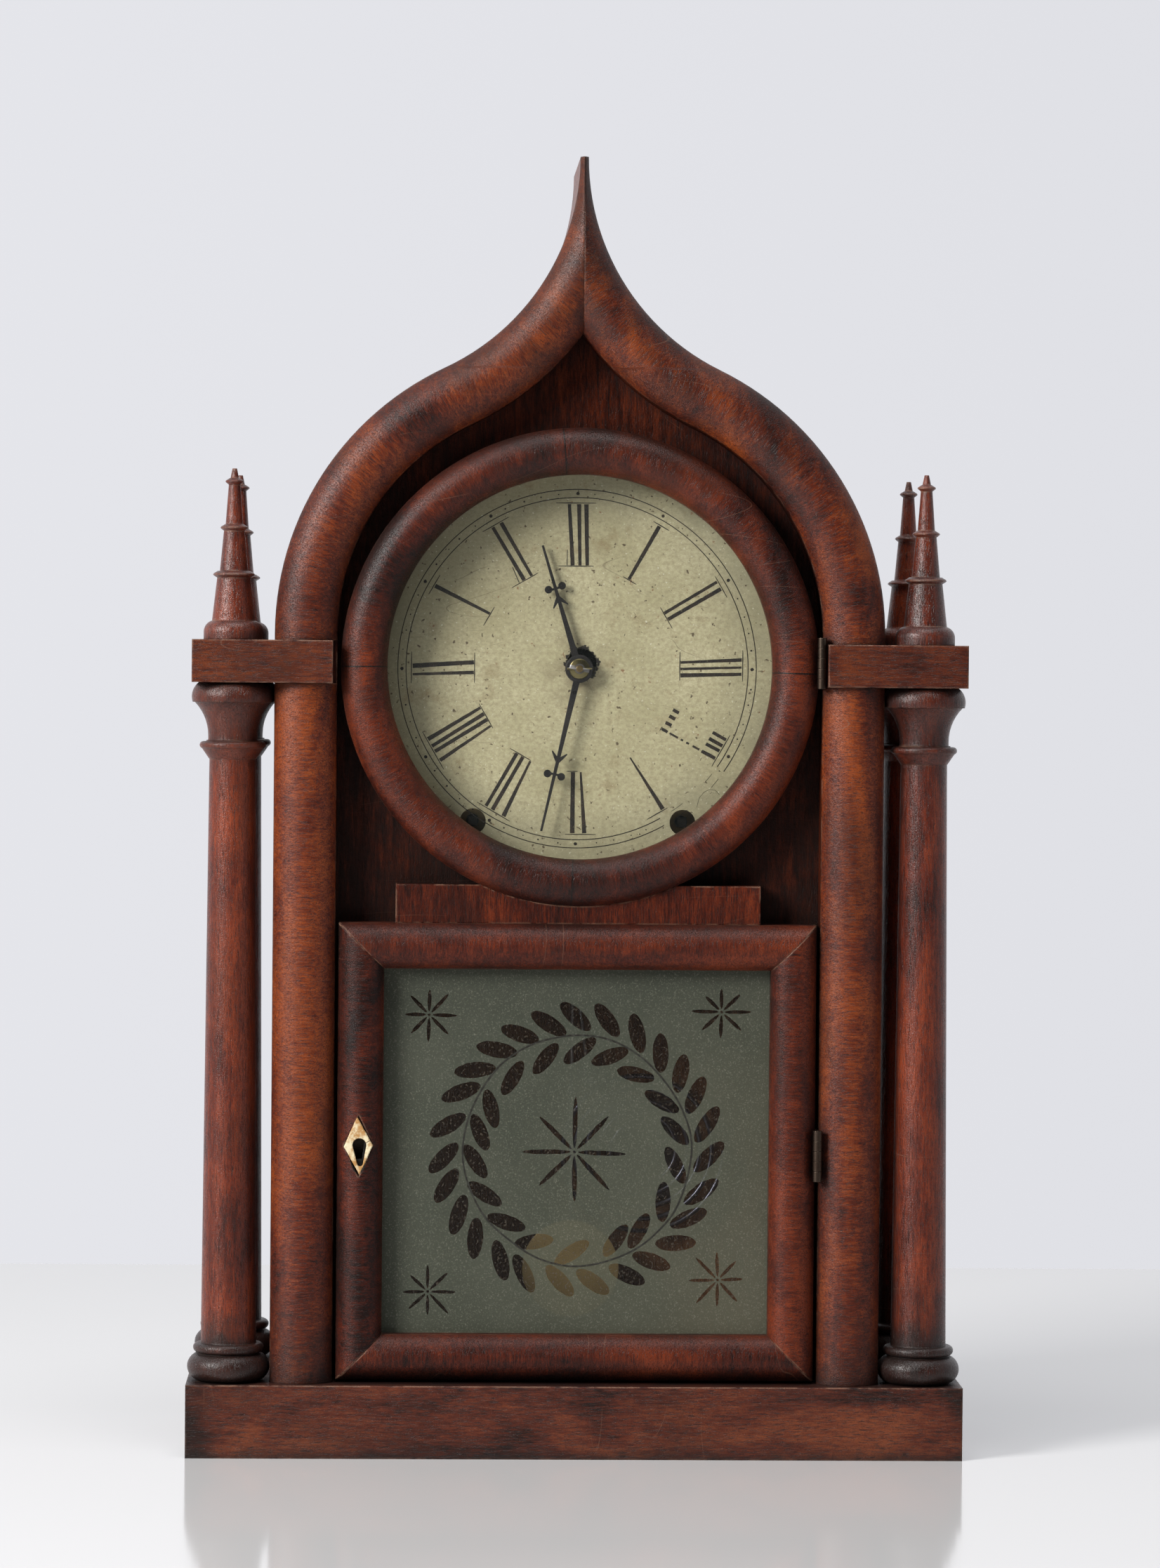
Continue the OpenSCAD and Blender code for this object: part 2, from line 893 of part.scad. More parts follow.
// Leaf that joins those knuckles, lying in the door's gap with one face at x
module hinge_plates(first, x) {
    step = barrel_l / knuckles;
    tang_y = hinge_y + barrel_d / 2 - 0.9;
    for (up = hinge_up)
        translate([x, 0, door_z + up - barrel_l / 2]) {
            translate([0, front_y, 0])
                cube([leaf_t, leaf_seat, barrel_l - knuckle_gap]);
            for (i = [first:2:knuckles - 1])
                translate([0, tang_y, i * step])
                    cube([leaf_t, front_y - tang_y + 1, step - knuckle_gap]);
        }
}

module hinge_door_leaves() {
    color("gray")
        difference() {
            union() {
                hinge_knuckles(1);
                hinge_plates(1, door_half + leaf_play);
            }
            hinge_bores();
        }
}

module hinge_case_leaves() {
    color("gray")
        difference() {
            union() {
                hinge_knuckles(0);
                hinge_plates(0, rail_x - leaf_t);
            }
            hinge_bores();
        }
    color("silver")
        for (up = hinge_up)
            translate([hinge_x, hinge_y, door_z + up - barrel_l / 2])
                cylinder(d = hinge_pin_d, h = barrel_l - knuckle_gap);
}

// Bores of the knuckles, a running fit round the pins
module hinge_bores() {
    for (up = hinge_up)
        translate([hinge_x, hinge_y, door_z + up - barrel_l])
            cylinder(d = hinge_pin_d + 2 * pivot_fit, h = 2 * barrel_l);
}

// The dial and the hands

module dial_plate() {
    color("beige")
        slab(dial_y, dial_t)
            difference() {
                translate([-dial_w / 2, dial_z - dial_w / 2])
                    square(dial_w);
                translate([dial_hole_off[0], dial_z + dial_hole_off[1]])
                    circle(d = dial_hole_d);
                for (at = winders)
                    translate([at[0], dial_z + at[1]])
                        circle(d = wind_hole_d);
            }
}

// Blade of a hand from its hub to its tip, with a pair of barbs and a pair of lobes
module hand_outline(l, hub_r, foot_w) {
    lobe_at = l * 0.65;
    barb_at = l * 0.55;
    circle(hub_r);
    polygon([
        [-foot_w / 2, 0], [foot_w / 2, 0], [0.8, barb_at], [0.5, l], [-0.5, l], [-0.8, barb_at]
    ]);
    both_sides() {
        polygon([
            [0, barb_at], [1.5, barb_at - 1.2], [3.3, barb_at - 2.8], [3.5, barb_at - 2.2],
            [1.8, barb_at + 0.6], [0, barb_at + 3]
        ]);
        translate([0, lobe_at - 0.5])
            square([3, 1]);
        translate([3.1, lobe_at + 0.4])
            circle(1.7, $fn = 48);
    }
}

module hour_hand() {
    color("black")
        difference() {
            on_dial([0, 0])
                rotate([0, hand_turn[0], 0]) {
                    slab(hour_y, hand_t)
                        hand_outline(hour_l, 6.2, 3.2);
                    slab(hour_y, 2)
                        circle(pipe_d / 2 + 1.2);
                }
            on_dial([0, 0])
                slab(hour_y - 1, 4)
                    circle(pipe_d / 2 + push_fit);
        }
}

module minute_hand() {
    color("black")
        on_dial([0, 0])
            rotate([0, hand_turn[1], 0])
                difference() {
                    union() {
                        slab(minute_y, hand_t)
                            hand_outline(minute_l, 5.4, 3.2);
                        slab(minute_y - minute_collar + hand_t, minute_collar)
                            circle(5.9);
                    }
                    slab(minute_y - 3, 6)
                        circle(arbor_d / 2 + push_fit);
                }
}

// Domed brass washer and the taper pin through the centre arbor
module hand_pin() {
    color("goldenrod")
        turned([0, dial_z], washer_y + washer_t)
            polygon([
                [arbor_d / 2 + pivot_fit, 0], [4.6, 0], [4.2, washer_t / 2],
                [2.4, washer_t], [arbor_d / 2 + pivot_fit, washer_t]
            ]);
    color("silver")
        translate([0, pin_y, dial_z])
            rotate([0, 90, 0])
                cylinder(d1 = pin_d, d2 = pin_d - 0.3, h = 11, center = true);
}

// The movement

// Outline of a wheel with n teeth of size m
function tooth_points(m, n) =
    let (step = 360 / n, r = m * n / 2, root = r - 1.1 * m, tip = r + 0.85 * m)
    [for (i = [0:n - 1])
        for (p = [[root, -0.26], [r, -0.19], [tip, -0.07], [tip, 0.07], [r, 0.19], [root, 0.26]])
            polar(p[0], (i + p[1]) * step)];

// Toothed wheel with arms, its first tooth towards turn
module wheel(m, n, arms, turn, bore, rim_w = 2.4) {
    rim = m * n / 2 - rim_w;
    hub = max(bore + 2.5, 5);
    rotate([0, 0, turn])
        difference() {
            polygon(tooth_points(m, n));
            difference() {
                circle(rim);
                circle(hub);
                for (i = [0:arms - 1])
                    rotate([0, 0, (i + 0.5) * 360 / arms])
                        translate([0, -1.6])
                            square([rim + 1, 3.2]);
            }
            circle(bore);
        }
}

// Lantern pinion of n staves round a wheel t thick at y, with a gap towards turn
module lantern(m, n, turn, y, t) {
    r = m * n / 2;
    stave = 0.17 * PI * m;
    low = y - stave_play - stave_cap;
    for (cap_y = [low, y + t + stave_play])
        slab(cap_y, stave_cap)
            circle(r + stave + 0.3);
    for (i = [0:n - 1])
        slab(low, t + 2 * (stave_play + stave_cap))
            translate(polar(r, turn + (i + 0.5) * 360 / n))
                circle(stave, $fn = 24);
}

// Arbor with a pivot in each plate
module arbor(front = 0, back = 0) {
    slab(gap_front + 0.3, plate_gap - 0.6)
        circle(arbor_d / 2);
    slab(plate_front_y - front, plate_t + 1 + front)
        circle(pivot_d / 2);
    slab(gap_back - 1, plate_t + 1 + back)
        circle(pivot_d / 2);
}

module great_wheel(at, turn) {
    on_dial(at) {
        slab(great_y, great_t)
            wheel(train_m[0], great_n, 5, turn, wind_d / 2 + pivot_fit);
    }
}

module time_great_wheel() {
    color("goldenrod")
        great_wheel(great_at, great_turn + 180);
}

module strike_great_wheel() {
    color("goldenrod")
        great_wheel(strike_great_at, -great_turn);
}

// Winding arbor with its ratchet, spring hub and square end
module winding_arbor(at) {
    square_w = 4.2;
    square_l = 7;
    square_y = dial_y + dial_t + 4;
    on_dial(at) {
        slab(great_y - 0.6, ratchet_y - great_y + 0.7)
            circle(wind_d / 2);
        slab(square_y + square_l - 1, great_y - square_y - square_l + 1)
            circle(wind_d / 2 - 0.4);
        slab(square_y, square_l)
            translate([-square_w / 2, -square_w / 2])
                square(square_w);
        slab(ratchet_y, ratchet_t)
            polygon([for (i = [0:ratchet_n - 1]) for (p = [[7.6, 0], [9, 0.1]])
                polar(p[0], (i + p[1]) * 360 / ratchet_n)]);
        slab(ratchet_y + ratchet_t - 0.1, gap_back - ratchet_y - ratchet_t - 0.2)
            circle(spring_hub);
        slab(gap_back - 1, plate_t + 1)
            circle(wind_d / 2 - 1);
    }
}

module time_winding_arbor() {
    color("silver")
        winding_arbor(great_at);
}

module strike_winding_arbor() {
    color("silver")
        winding_arbor(strike_great_at);
}

// Faces of a tube of n rings with k corners each, closed at both ends
function tube_faces(n, k) = concat(
    [[for (j = [0:k - 1]) j]],
    [for (i = [0:n - 2]) for (j = [0:k - 1])
        each [
            [i * k + j, (i + 1) * k + j, i * k + (j + 1) % k],
            [i * k + (j + 1) % k, (i + 1) * k + j, (i + 1) * k + (j + 1) % k]
        ]],
    [[for (j = [k - 1:-1:0]) (n - 1) * k + j]]
);

rings_per_loop = 24;
spring_start = spring_hub + spring_t / 2 + 0.3;
spring_pitch = (spring_r - spring_start) / spring_loops;

// The strip runs out to the pillar below it on a line that touches the last loop
pillar_lead = pillar_places[1] - great_at;
pillar_far = norm(pillar_lead);
spring_end_turn = atan2(pillar_lead[1], pillar_lead[0]) - acos(spring_r / pillar_far);
spring_tail = sqrt(pillar_far * pillar_far - spring_r * spring_r) - pillar_d / 2 - spring_t / 2;
spring_rings = spring_loops * rings_per_loop;
function spring_angle(i) = spring_end_turn - 360 * spring_loops * (1 - i / spring_rings);
function spring_radius(i) = spring_start + spring_pitch * spring_loops * i / spring_rings;
function spring_point(i, off) = i <= spring_rings
    ? polar(spring_radius(i) + off, spring_angle(i))
    : polar(spring_r + off, spring_end_turn) + polar(spring_tail, spring_end_turn + 90);
function spring_corners(i) = [
    for (c = [[-1, 0], [1, 0], [1, 1], [-1, 1]])
        let (p = spring_point(i, c[0] * spring_t / 2))
        [p[0], -c[1] * spring_w, p[1]]
];

module mainspring() {
    translate([great_at[0], spring_y + spring_w, dial_z + great_at[1]])
        polyhedron(
            [for (i = [0:spring_rings + 1]) each spring_corners(i)],
            tube_faces(spring_rings + 2, 4)
        );
}

module mainsprings() {
    echo("least gap between the loops of a mainspring", spring_pitch - spring_t);
    color("steelblue")
        both_sides()
            mainspring();
}

module second_wheel() {
    color("goldenrod")
        on_dial(second_at) {
            arbor();
            slab(second_y, wheel_t)
                wheel(train_m[1], second_n, 5, second_turn + 180, 0);
            lantern(train_m[0], second_leaf, great_turn, great_y, great_t);
        }
}

// Centre wheel on the arbor that carries the minute hand, cross-bored for its pin
module centre_wheel() {
    color("goldenrod")
        on_dial([0, 0]) {
            difference() {
                slab(arbor_end, gap_back - arbor_end - 0.3)
                    circle(arbor_d / 2);
                translate([0, pin_y, 0])
                    rotate([0, 90, 0])
                        cylinder(d = pin_d + 2 * pivot_fit, h = 2 * arbor_d, center = true);
            }
            slab(gap_back - 1, plate_t + 1)
                circle(pivot_d / 2);
            slab(centre_y, wheel_t)
                wheel(train_m[2], centre_n, 4, third_turn, 0);
            lantern(train_m[1], centre_leaf, second_turn, second_y, wheel_t);
            slab(minute_wheel_y - 0.4, wheel_t + 0.8)
                pinion(motion_m, cannon_n, minute_turn);
        }
}

// Solid pinion with a tooth gap towards turn
module pinion(m, n, turn) {
    rotate([0, 0, turn + 180 / n])
        polygon(tooth_points(m, n));
}

module third_wheel() {
    color("goldenrod")
        on_dial(third_at) {
            arbor();
            slab(third_y, wheel_t)
                wheel(train_m[3], third_n, 4, escape_turn, 0);
            lantern(train_m[2], third_leaf, third_turn + 180, centre_y, wheel_t);
        }
}

module escape_wheel() {
    color("goldenrod")
        on_dial(escape_at) {
            arbor();
            slab(escape_y, wheel_t)
                difference() {
                    polygon([for (i = [0:escape_n - 1]) for (p = [[escape_r - 2.6, 0], [escape_r, 0.4]])
                        polar(p[0], (i + p[1]) * 360 / escape_n)]);
                    difference() {
                        circle(escape_r - 4.4);
                        circle(4);
                        for (a = [0:90:270])
                            rotate([0, 0, a])
                                translate([0, -0.8])
                                    square([escape_r, 1.6]);
                    }
                }
            lantern(train_m[3], escape_leaf, escape_turn + 180, third_y, wheel_t);
        }
}

// Pallet strip over the escape wheel, its arbor, and the crutch that clasps the rod
module verge() {
    arm = 48;
    inner = escape_r + pallet_play;
    color("silver") {
        on_dial(verge_at)
            arbor(0, 3);
        slab(escape_y - 0.3, wheel_t + 0.4)
            translate([0, dial_z + escape_at[1]]) {
                intersection() {
                    difference() {
                        circle(inner + 1.6);
                        circle(inner);
                    }
                    polygon([
                        [0, 0], polar(3 * escape_r, 90 - arm),
                        [0, 4 * escape_r], polar(3 * escape_r, 90 + arm)
                    ]);
                }
                translate([-1.5, inner + 0.5])
                    square([3, verge_at[1] - escape_at[1] - inner]);
                translate([0, verge_at[1] - escape_at[1]])
                    circle(2.6);
            }
        on_dial(verge_at) {
            slab(crutch_y, crutch_t)
                circle(1.4);
            slab(crutch_y, crutch_t)
                translate([-crutch_t / 2, -crutch_l])
                    square([crutch_t, crutch_l]);
        }
        translate([0, 0, dial_z + verge_at[1] - crutch_l])
            linear_extrude(crutch_t)
                difference() {
                    union() {
                        translate([-crutch_t / 2, crutch_y])
                            square([crutch_t, rod_y - loop_r - crutch_y]);
                        translate([0, rod_y])
                            circle(loop_r + crutch_t / 2, $fn = 48);
                    }
                    translate([0, rod_y])
                        circle(loop_r - crutch_t / 2, $fn = 48);
                }
    }
}

module minute_wheel() {
    color("goldenrod")
        on_dial(minute_at)
            difference() {
                union() {
                    slab(minute_wheel_y, wheel_t)
                        wheel(motion_m, minute_n, 3, minute_turn + 180, 0);
                    slab(hour_wheel_y - 0.4, minute_wheel_y - hour_wheel_y + 0.5)
                        pinion(hour_m, minute_leaf, minute_turn + 180);
                }
                slab(hour_wheel_y - 2, 12)
                    circle(arbor_d / 2 + pivot_fit);
            }
}

// Hour wheel with the pipe that carries the hour hand
module hour_wheel() {
    color("goldenrod")
        on_dial([0, 0])
            difference() {
                union() {
                    slab(hour_wheel_y, wheel_t)
                        wheel(hour_m, hour_n, 3, minute_turn, 0);
                    slab(hour_y, hour_wheel_y - hour_y + 0.1)
                        circle(pipe_d / 2);
                }
                slab(hour_y - 1, 20)
                    circle(arbor_d / 2 + pivot_fit);
            }
}

// Strike wheel whose pins lift the hammer, with the count wheel's pinion in front
module pin_wheel() {
    lift_pins = 12;
    color("goldenrod")
        on_dial(pin_at) {
            arbor(3.4);
            slab(second_y, wheel_t)
                wheel(train_m[4], pin_n, 4, fly_turn, 0, 5);
            for (i = [0:lift_pins - 1])
                slab(second_y + wheel_t - 0.1, lift_pin_l + 0.1)
                    translate(polar(pin_circle, (i + 0.5) * 360 / lift_pins))
                        circle(0.6, $fn = 24);
            lantern(train_m[0], pin_leaf, 180 - great_turn, great_y, great_t);
            slab(count_y - 0.4, wheel_t + 0.8)
                pinion(count_m, count_leaf, count_turn);
        }
}

// Air brake of the strike train
module strike_fly() {
    vane = 11.5;
    color("goldenrod")
        on_dial(fly_at) {
            arbor();
            lantern(train_m[4], fly_leaf, fly_turn + 180, second_y, wheel_t);
            slab(gap_front + 5, 10)
                translate([-vane, -0.4])
                    square([2 * vane, 0.8]);
            slab(gap_front + 5, 10)
                circle(2.2);
        }
}

// Count wheel with its notched plate: the notches grow apart from one to twelve
module count_wheel() {
    hours = 12;
    plate_r = count_m * count_n / 2 - 2;
    notch_w = 1.4;
    notch_deep = 2.2;
    color("goldenrod")
        on_dial(count_at) {
            slab(count_y, wheel_t)
                wheel(count_m, count_n, 3, count_turn + 180, arbor_d / 2 + pivot_fit);
            slab(count_y + wheel_t - 0.1, 1)
                difference() {
                    circle(plate_r);
                    circle(plate_r - 2 * notch_deep);
                    for (h = [1:hours])
                        rotate([0, 0, 360 * (h * (h + 1) / 2 + h) / count_n])
                            translate([plate_r - notch_deep, -notch_w / 2])
                                square([2 * notch_deep, notch_w]);
                }
        }
}

strike_r = gong_start_r + gong_pitch * (gong_loops - 1 + strike_turn / 360)
    + gong_wire_d / 2 + hammer_gap + hammer_d / 2;
strike_at = [gong_x, gong_z] + polar(strike_r, strike_turn);
hammer_lead = strike_at - [hammer_at[0], dial_z + hammer_at[1]];

// Hammer on its arbor: a tail at the pin wheel and a head beside the gong
module hammer() {
    tail_lead = pin_at - hammer_at;
    tail_l = norm(tail_lead) - pin_circle - 1.4;
    color("silver") {
        on_dial(hammer_at) {
            arbor(0, gong_y - gap_back - plate_t + 1);
            slab(second_y + wheel_t + 0.5, lift_pin_l - 0.5)
                rotate([0, 0, atan2(tail_lead[1], tail_lead[0])])
                    translate([0, -1.2])
                        square([tail_l, 2.4]);
            slab(second_y + wheel_t + 0.5, lift_pin_l - 0.5)
                circle(2.6);
            slab(gong_y - 1.8, 3.6)
                circle(2.2);
            translate([0, gong_y, 0])
                rotate([0, 90 - atan2(hammer_lead[1], hammer_lead[0]), 0])
                    cylinder(d = 1.8, h = norm(hammer_lead), $fn = 24);
        }
    }
    color("goldenrod")
        translate([strike_at[0], gong_y, strike_at[1]])
            rotate([0, 90 - strike_turn, 0])
                cylinder(d = hammer_d, h = hammer_d, center = true);
}

module plate_outline() {
    polygon([
        [-pillar_half - plate_rim, plate_low], [pillar_half + plate_rim, plate_low],
        [pillar_half + plate_rim, plate_bend], [pillar_top_half + plate_rim, plate_high],
        [-pillar_top_half - plate_rim, plate_high], [-pillar_half - plate_rim, plate_bend]
    ]);
}

plain_pivots = [second_at, third_at, escape_at, verge_at, pin_at, fly_at, hammer_at];

// Plate with its windows and the holes of the small pivots
module pierced_plate() {
    difference() {
        plate_outline();
        for (at = plain_pivots)
            translate(at)
                circle(pivot_d / 2 + pivot_fit);
        both_sides()
            translate([pillar_half - 16, second_at[1] + 5])
                circle(side_window_r);
        translate([0, great_at[1] - 8])
            circle(low_window_r);
    }
}

// Front plate with the studs of the minute and count wheels
module movement_plate_front() {
    stud_r = arbor_d / 2;
    color("goldenrod")
        on_dial([0, 0]) {
            slab(plate_front_y, plate_t)
                difference() {
                    pierced_plate();
                    circle(arbor_d / 2 + pivot_fit);
                    for (at = winders)
                        translate(at)
                            circle(wind_d / 2 - 0.4 + pivot_fit);
                }
            slab(hour_wheel_y - 0.8, plate_front_y - hour_wheel_y + 0.9)
                translate(minute_at)
                    circle(stud_r);
            slab(plate_front_y - 3.2, 3.3)
                translate(count_at)
                    circle(stud_r);
        }
}

// Back plate with the cock that holds the pendulum's ribbon
module movement_plate_back() {
    color("goldenrod")
        on_dial([0, 0]) {
            slab(plate_back_y, plate_t)
                difference() {
                    pierced_plate();
                    circle(pivot_d / 2 + pivot_fit);
                    for (at = winders)
                        translate(at)
                            circle(wind_d / 2 - 1 + pivot_fit);
                }
            slab(cock_y - 0.1, cock_deep + 0.1)
                translate([-cock_w / 2, swing_z - dial_z + hang_gap])
                    square([cock_w, cock_h]);
        }
}

module movement_pillars() {
    color("darkgoldenrod")
        on_dial([0, 0])
            for (at = pillar_places) {
                slab(gap_front, plate_gap)
                    translate(at)
                        circle(pillar_d / 2);
            }
}

// Upright wooden strips between the back board and the movement
module movement_strips() {
    color("peru")
        both_sides()
            translate([pillar_half - strip_w / 2 - 4, cock_y, dial_z + plate_low])
                cube([strip_w, back_y - cock_y, plate_high - plate_low - strip_short]);
}

// The pendulum and the gong

module pendulum_rod() {
    nut_d = 7;
    nut_t = 2.4;
    clip = 2.8;
    color("silver") {
        translate([-ribbon_t / 2, rod_y - ribbon_w / 2, swing_z - ribbon_l])
            cube([ribbon_t, ribbon_w, ribbon_l]);
        translate([-clip / 2, rod_y - clip / 2, swing_z - ribbon_l - 3])
            cube([clip, clip, 5]);
        translate([0, rod_y, bob_z - bob_d / 2 - 9])
            cylinder(d = rod_d, h = swing_z - ribbon_l - bob_z + bob_d / 2 + 8, $fn = 32);
        translate([0, rod_y, bob_z - bob_d / 2 - nut_t])
            cylinder(d = nut_d, h = nut_t, $fn = 48);
    }
}

// Lead bob in a brass skin, domed on both faces
module pendulum_bob() {
    rim = 3;
    half = bob_t / 2;
    dome = half - rim / 2;
    r = (bob_d * bob_d / 4 + dome * dome) / (2 * dome);
    color("gold")
        difference() {
            translate([0, rod_y, bob_z])
                rotate([90, 0, 0])
                    rotate_extrude()
                        intersection() {
                            translate([0, half - r])
                                circle(r, $fn = 180);
                            translate([0, r - half])
                                circle(r, $fn = 180);
                            translate([0, -half])
                                square([bob_d / 2, bob_t]);
                        }
            translate([0, rod_y, bob_z - bob_d])
                cylinder(d = rod_d + 2 * pivot_fit, h = 2 * bob_d, $fn = 32);
        }
}

gong_rings = gong_loops * rings_per_loop;
function gong_spot(i) = i < 2
    ? [boss_r - gong_grip + i * (gong_wire_d + gong_grip), 0]
    : polar(gong_start_r + gong_pitch * (i - 2) / rings_per_loop, (i - 2) * 360 / rings_per_loop);
function gong_heading(i) =
    let (a = gong_spot(max(i - 1, 0)), b = gong_spot(min(i + 1, gong_rings + 2)))
    i < 2 ? 0 : atan2(b[1] - a[1], b[0] - a[0]);
function gong_ring(i) =
    let (p = gong_spot(i), h = gong_heading(i))
    [for (j = [0:5])
        let (c = polar(gong_wire_d / 2, 60 * j))
        [p[0] - c[0] * sin(h), c[1], p[1] + c[0] * cos(h)]];

// Spiral wire gong, one unbroken wire from the boss outwards
module gong() {
    echo("least gap between the loops of the gong", gong_pitch - gong_wire_d);
    color("steelblue")
        translate([gong_x, gong_y, gong_z])
            polyhedron(
                [for (i = [0:gong_rings + 2]) each gong_ring(i)],
                tube_faces(gong_rings + 3, 6)
            );
}

// Cast iron block on the back board that clamps the gong's inner end
module gong_block() {
    foot_w = 30;
    foot_l = 44;
    foot_t = 3.4;
    color("dimgray") {
        translate([gong_x - foot_w / 2, back_y - foot_t, gong_z - foot_l / 2])
            cube([foot_w, foot_t, foot_l]);
        difference() {
            slab(gong_y - 2.4, back_y - gong_y + 2.4)
                translate([gong_x, gong_z])
                    circle(boss_r);
            translate([gong_x, gong_y, gong_z])
                rotate([0, 90, 0])
                    cylinder(d = gong_wire_d + 0.1, h = boss_r + 1);
        }
    }
}

base_board();
mirror([1, 0, 0]) case_side();  // case_side_left
case_side();  // case_side_right
mirror([1, 0, 0]) roof();  // roof_left
roof();  // roof_right
back_board();
front_frame();
front_panel();
mirror([1, 0, 0]) rail();  // rail_left
rail();  // rail_right
mirror([1, 0, 0]) arch_moulding();  // arch_moulding_left
arch_moulding();  // arch_moulding_right
mirror([1, 0, 0]) cap_block();  // cap_block_left
cap_block();  // cap_block_right
mirror([1, 0, 0]) columns();  // columns_left
columns();  // columns_right
mirror([1, 0, 0]) spires();  // spires_left
spires();  // spires_right
dial_plate();
movement_strips();
door_stile_left();
door_stile_right();
door_rail_top();
door_rail_bottom();
door_neck();
bezel_ring();
dial_glass();
tablet_glass();
glass_strips();
escutcheon();
lock_case();
lock_bolt();
hinge_door_leaves();
hinge_case_leaves();
minute_hand();
hour_hand();
hand_pin();
movement_plate_front();
movement_plate_back();
movement_pillars();
time_great_wheel();
time_winding_arbor();
strike_great_wheel();
strike_winding_arbor();
mainsprings();
second_wheel();
centre_wheel();
third_wheel();
escape_wheel();
verge();
minute_wheel();
hour_wheel();
pin_wheel();
strike_fly();
count_wheel();
hammer();
pendulum_rod();
pendulum_bob();
gong();
gong_block();
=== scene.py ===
# %% [markdown]
# # An onion top shelf clock
# The clock is a spring-driven shelf clock in a veneered case, with a roof bent to an onion shape.
# Its solids come packed from the part's source. This script gives them their finishes, adds what is
# too fine for solids, such as the dial's printing and the cut pattern in the glass, and sets the
# camera, floor and lights. All lengths are in metres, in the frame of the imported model: X to the
# right, Y to the back of the case and Z up.

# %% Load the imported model
import math
import random

import bmesh
import bpy
from mathutils import Matrix, Vector


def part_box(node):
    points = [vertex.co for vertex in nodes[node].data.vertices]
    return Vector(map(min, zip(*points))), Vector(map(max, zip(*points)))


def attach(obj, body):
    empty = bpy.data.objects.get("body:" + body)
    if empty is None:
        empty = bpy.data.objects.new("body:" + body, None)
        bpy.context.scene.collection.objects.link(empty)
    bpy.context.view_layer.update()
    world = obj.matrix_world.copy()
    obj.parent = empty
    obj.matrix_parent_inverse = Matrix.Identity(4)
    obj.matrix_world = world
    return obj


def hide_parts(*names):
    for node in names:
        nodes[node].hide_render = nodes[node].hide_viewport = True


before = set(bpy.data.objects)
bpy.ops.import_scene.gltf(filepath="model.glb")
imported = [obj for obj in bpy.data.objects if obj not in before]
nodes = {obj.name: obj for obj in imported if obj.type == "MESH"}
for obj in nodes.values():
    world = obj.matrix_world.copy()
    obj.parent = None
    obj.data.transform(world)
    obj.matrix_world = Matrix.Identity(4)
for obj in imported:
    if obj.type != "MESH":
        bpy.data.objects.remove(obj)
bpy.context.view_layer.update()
mm = 0.001

# %% [markdown]
# ## The camera
# The photograph was taken with a long lens from a little left of the middle, at the height of the
# dial. A long lens keeps the columns parallel. The camera could be aimed by eye, but then no edge
# would line up. Its place and turn were solved from the base, the columns and the two circles of
# the dial instead, so they are given as measured numbers.

# %% Camera
def put(name, data):
    """Puts a mesh, a camera or a lamp into the scene, at the origin."""
    made = bpy.data.objects.new(name, data)
    bpy.context.scene.collection.objects.link(made)
    return made


camera_at = (-0.0760, -2.3132, 0.3456)
yaw, pitch, roll = math.radians(1.928), math.radians(1.270), math.radians(0.503)
lens = bpy.data.cameras.new("photo_camera")
lens.sensor_fit = "VERTICAL"
lens.sensor_height = 36
lens.lens = 118.8
lens.clip_end = 30
forward = Vector((math.sin(yaw) * math.cos(pitch), math.cos(yaw) * math.cos(pitch), -math.sin(pitch)))
level = Vector((math.cos(yaw), -math.sin(yaw), 0))
above = level.cross(forward)
right = math.cos(roll) * level + math.sin(roll) * above
up = math.cos(roll) * above - math.sin(roll) * level
camera = put("photo_camera", lens)
camera.matrix_world = Matrix.Translation(camera_at) @ Matrix((right, up, -forward)).transposed().to_4x4()
bpy.context.scene.camera = camera
print("camera", camera_at, "lens", lens.lens)

# %% [markdown]
# ## Node helpers
# A material or a geometry tree is a list of nodes and links. It could be wired by hand in the
# editor, but a script can be read and changed. Written out node by node it would be long, so a few
# helpers let each recipe read like a sentence. A mask is a value from 0 to 1 that varies over the
# surface, and most recipes are colours laid over each other through masks.

# %% Helpers that add a node and fill its sockets
def fill(tree, sockets, values):
    """Links each named socket to another node's output, or gives it a value. Colours are opaque."""
    for key, value in values.items():
        socket = sockets[key]
        if isinstance(value, bpy.types.NodeSocket):
            tree.links.new(value, socket)
        elif socket.type == "RGBA":
            socket.default_value = (*value, 1)
        else:
            socket.default_value = value


def place(tree, kind, values=None, **settings):
    """Adds a node of that kind. values go to its sockets, settings are the node's own."""
    made = tree.nodes.new(kind)
    for key, value in settings.items():
        setattr(made, key, value)
    fill(tree, made.inputs, values or {})
    return made


def result(tree, kind, values=None, **settings):
    """Adds a node and returns its first output."""
    return place(tree, kind, values, **settings).outputs[0]


print("sockets can be filled")

# %% Helpers for numbers and colours
def maths(tree, operation, a, b=0.0, clamp=False):
    return result(tree, "ShaderNodeMath", {0: a, 1: b}, operation=operation, use_clamp=clamp)


def plus(tree, a, b):
    return maths(tree, "ADD", a, b)


def minus(tree, a, b):
    return maths(tree, "SUBTRACT", a, b)


def times(tree, a, b, clamp=False):
    return maths(tree, "MULTIPLY", a, b, clamp)


def spread(tree, value, low, high, to_low=0.0, to_high=1.0):
    """Stretches the part of value between low and high to the range from to_low to to_high."""
    return result(tree, "ShaderNodeMapRange", {0: value, 1: low, 2: high, 3: to_low, 4: to_high})


def mixed(tree, mask, a, b):
    return place(tree, "ShaderNodeMix", {0: mask, 6: a, 7: b}, data_type="RGBA").outputs[2]


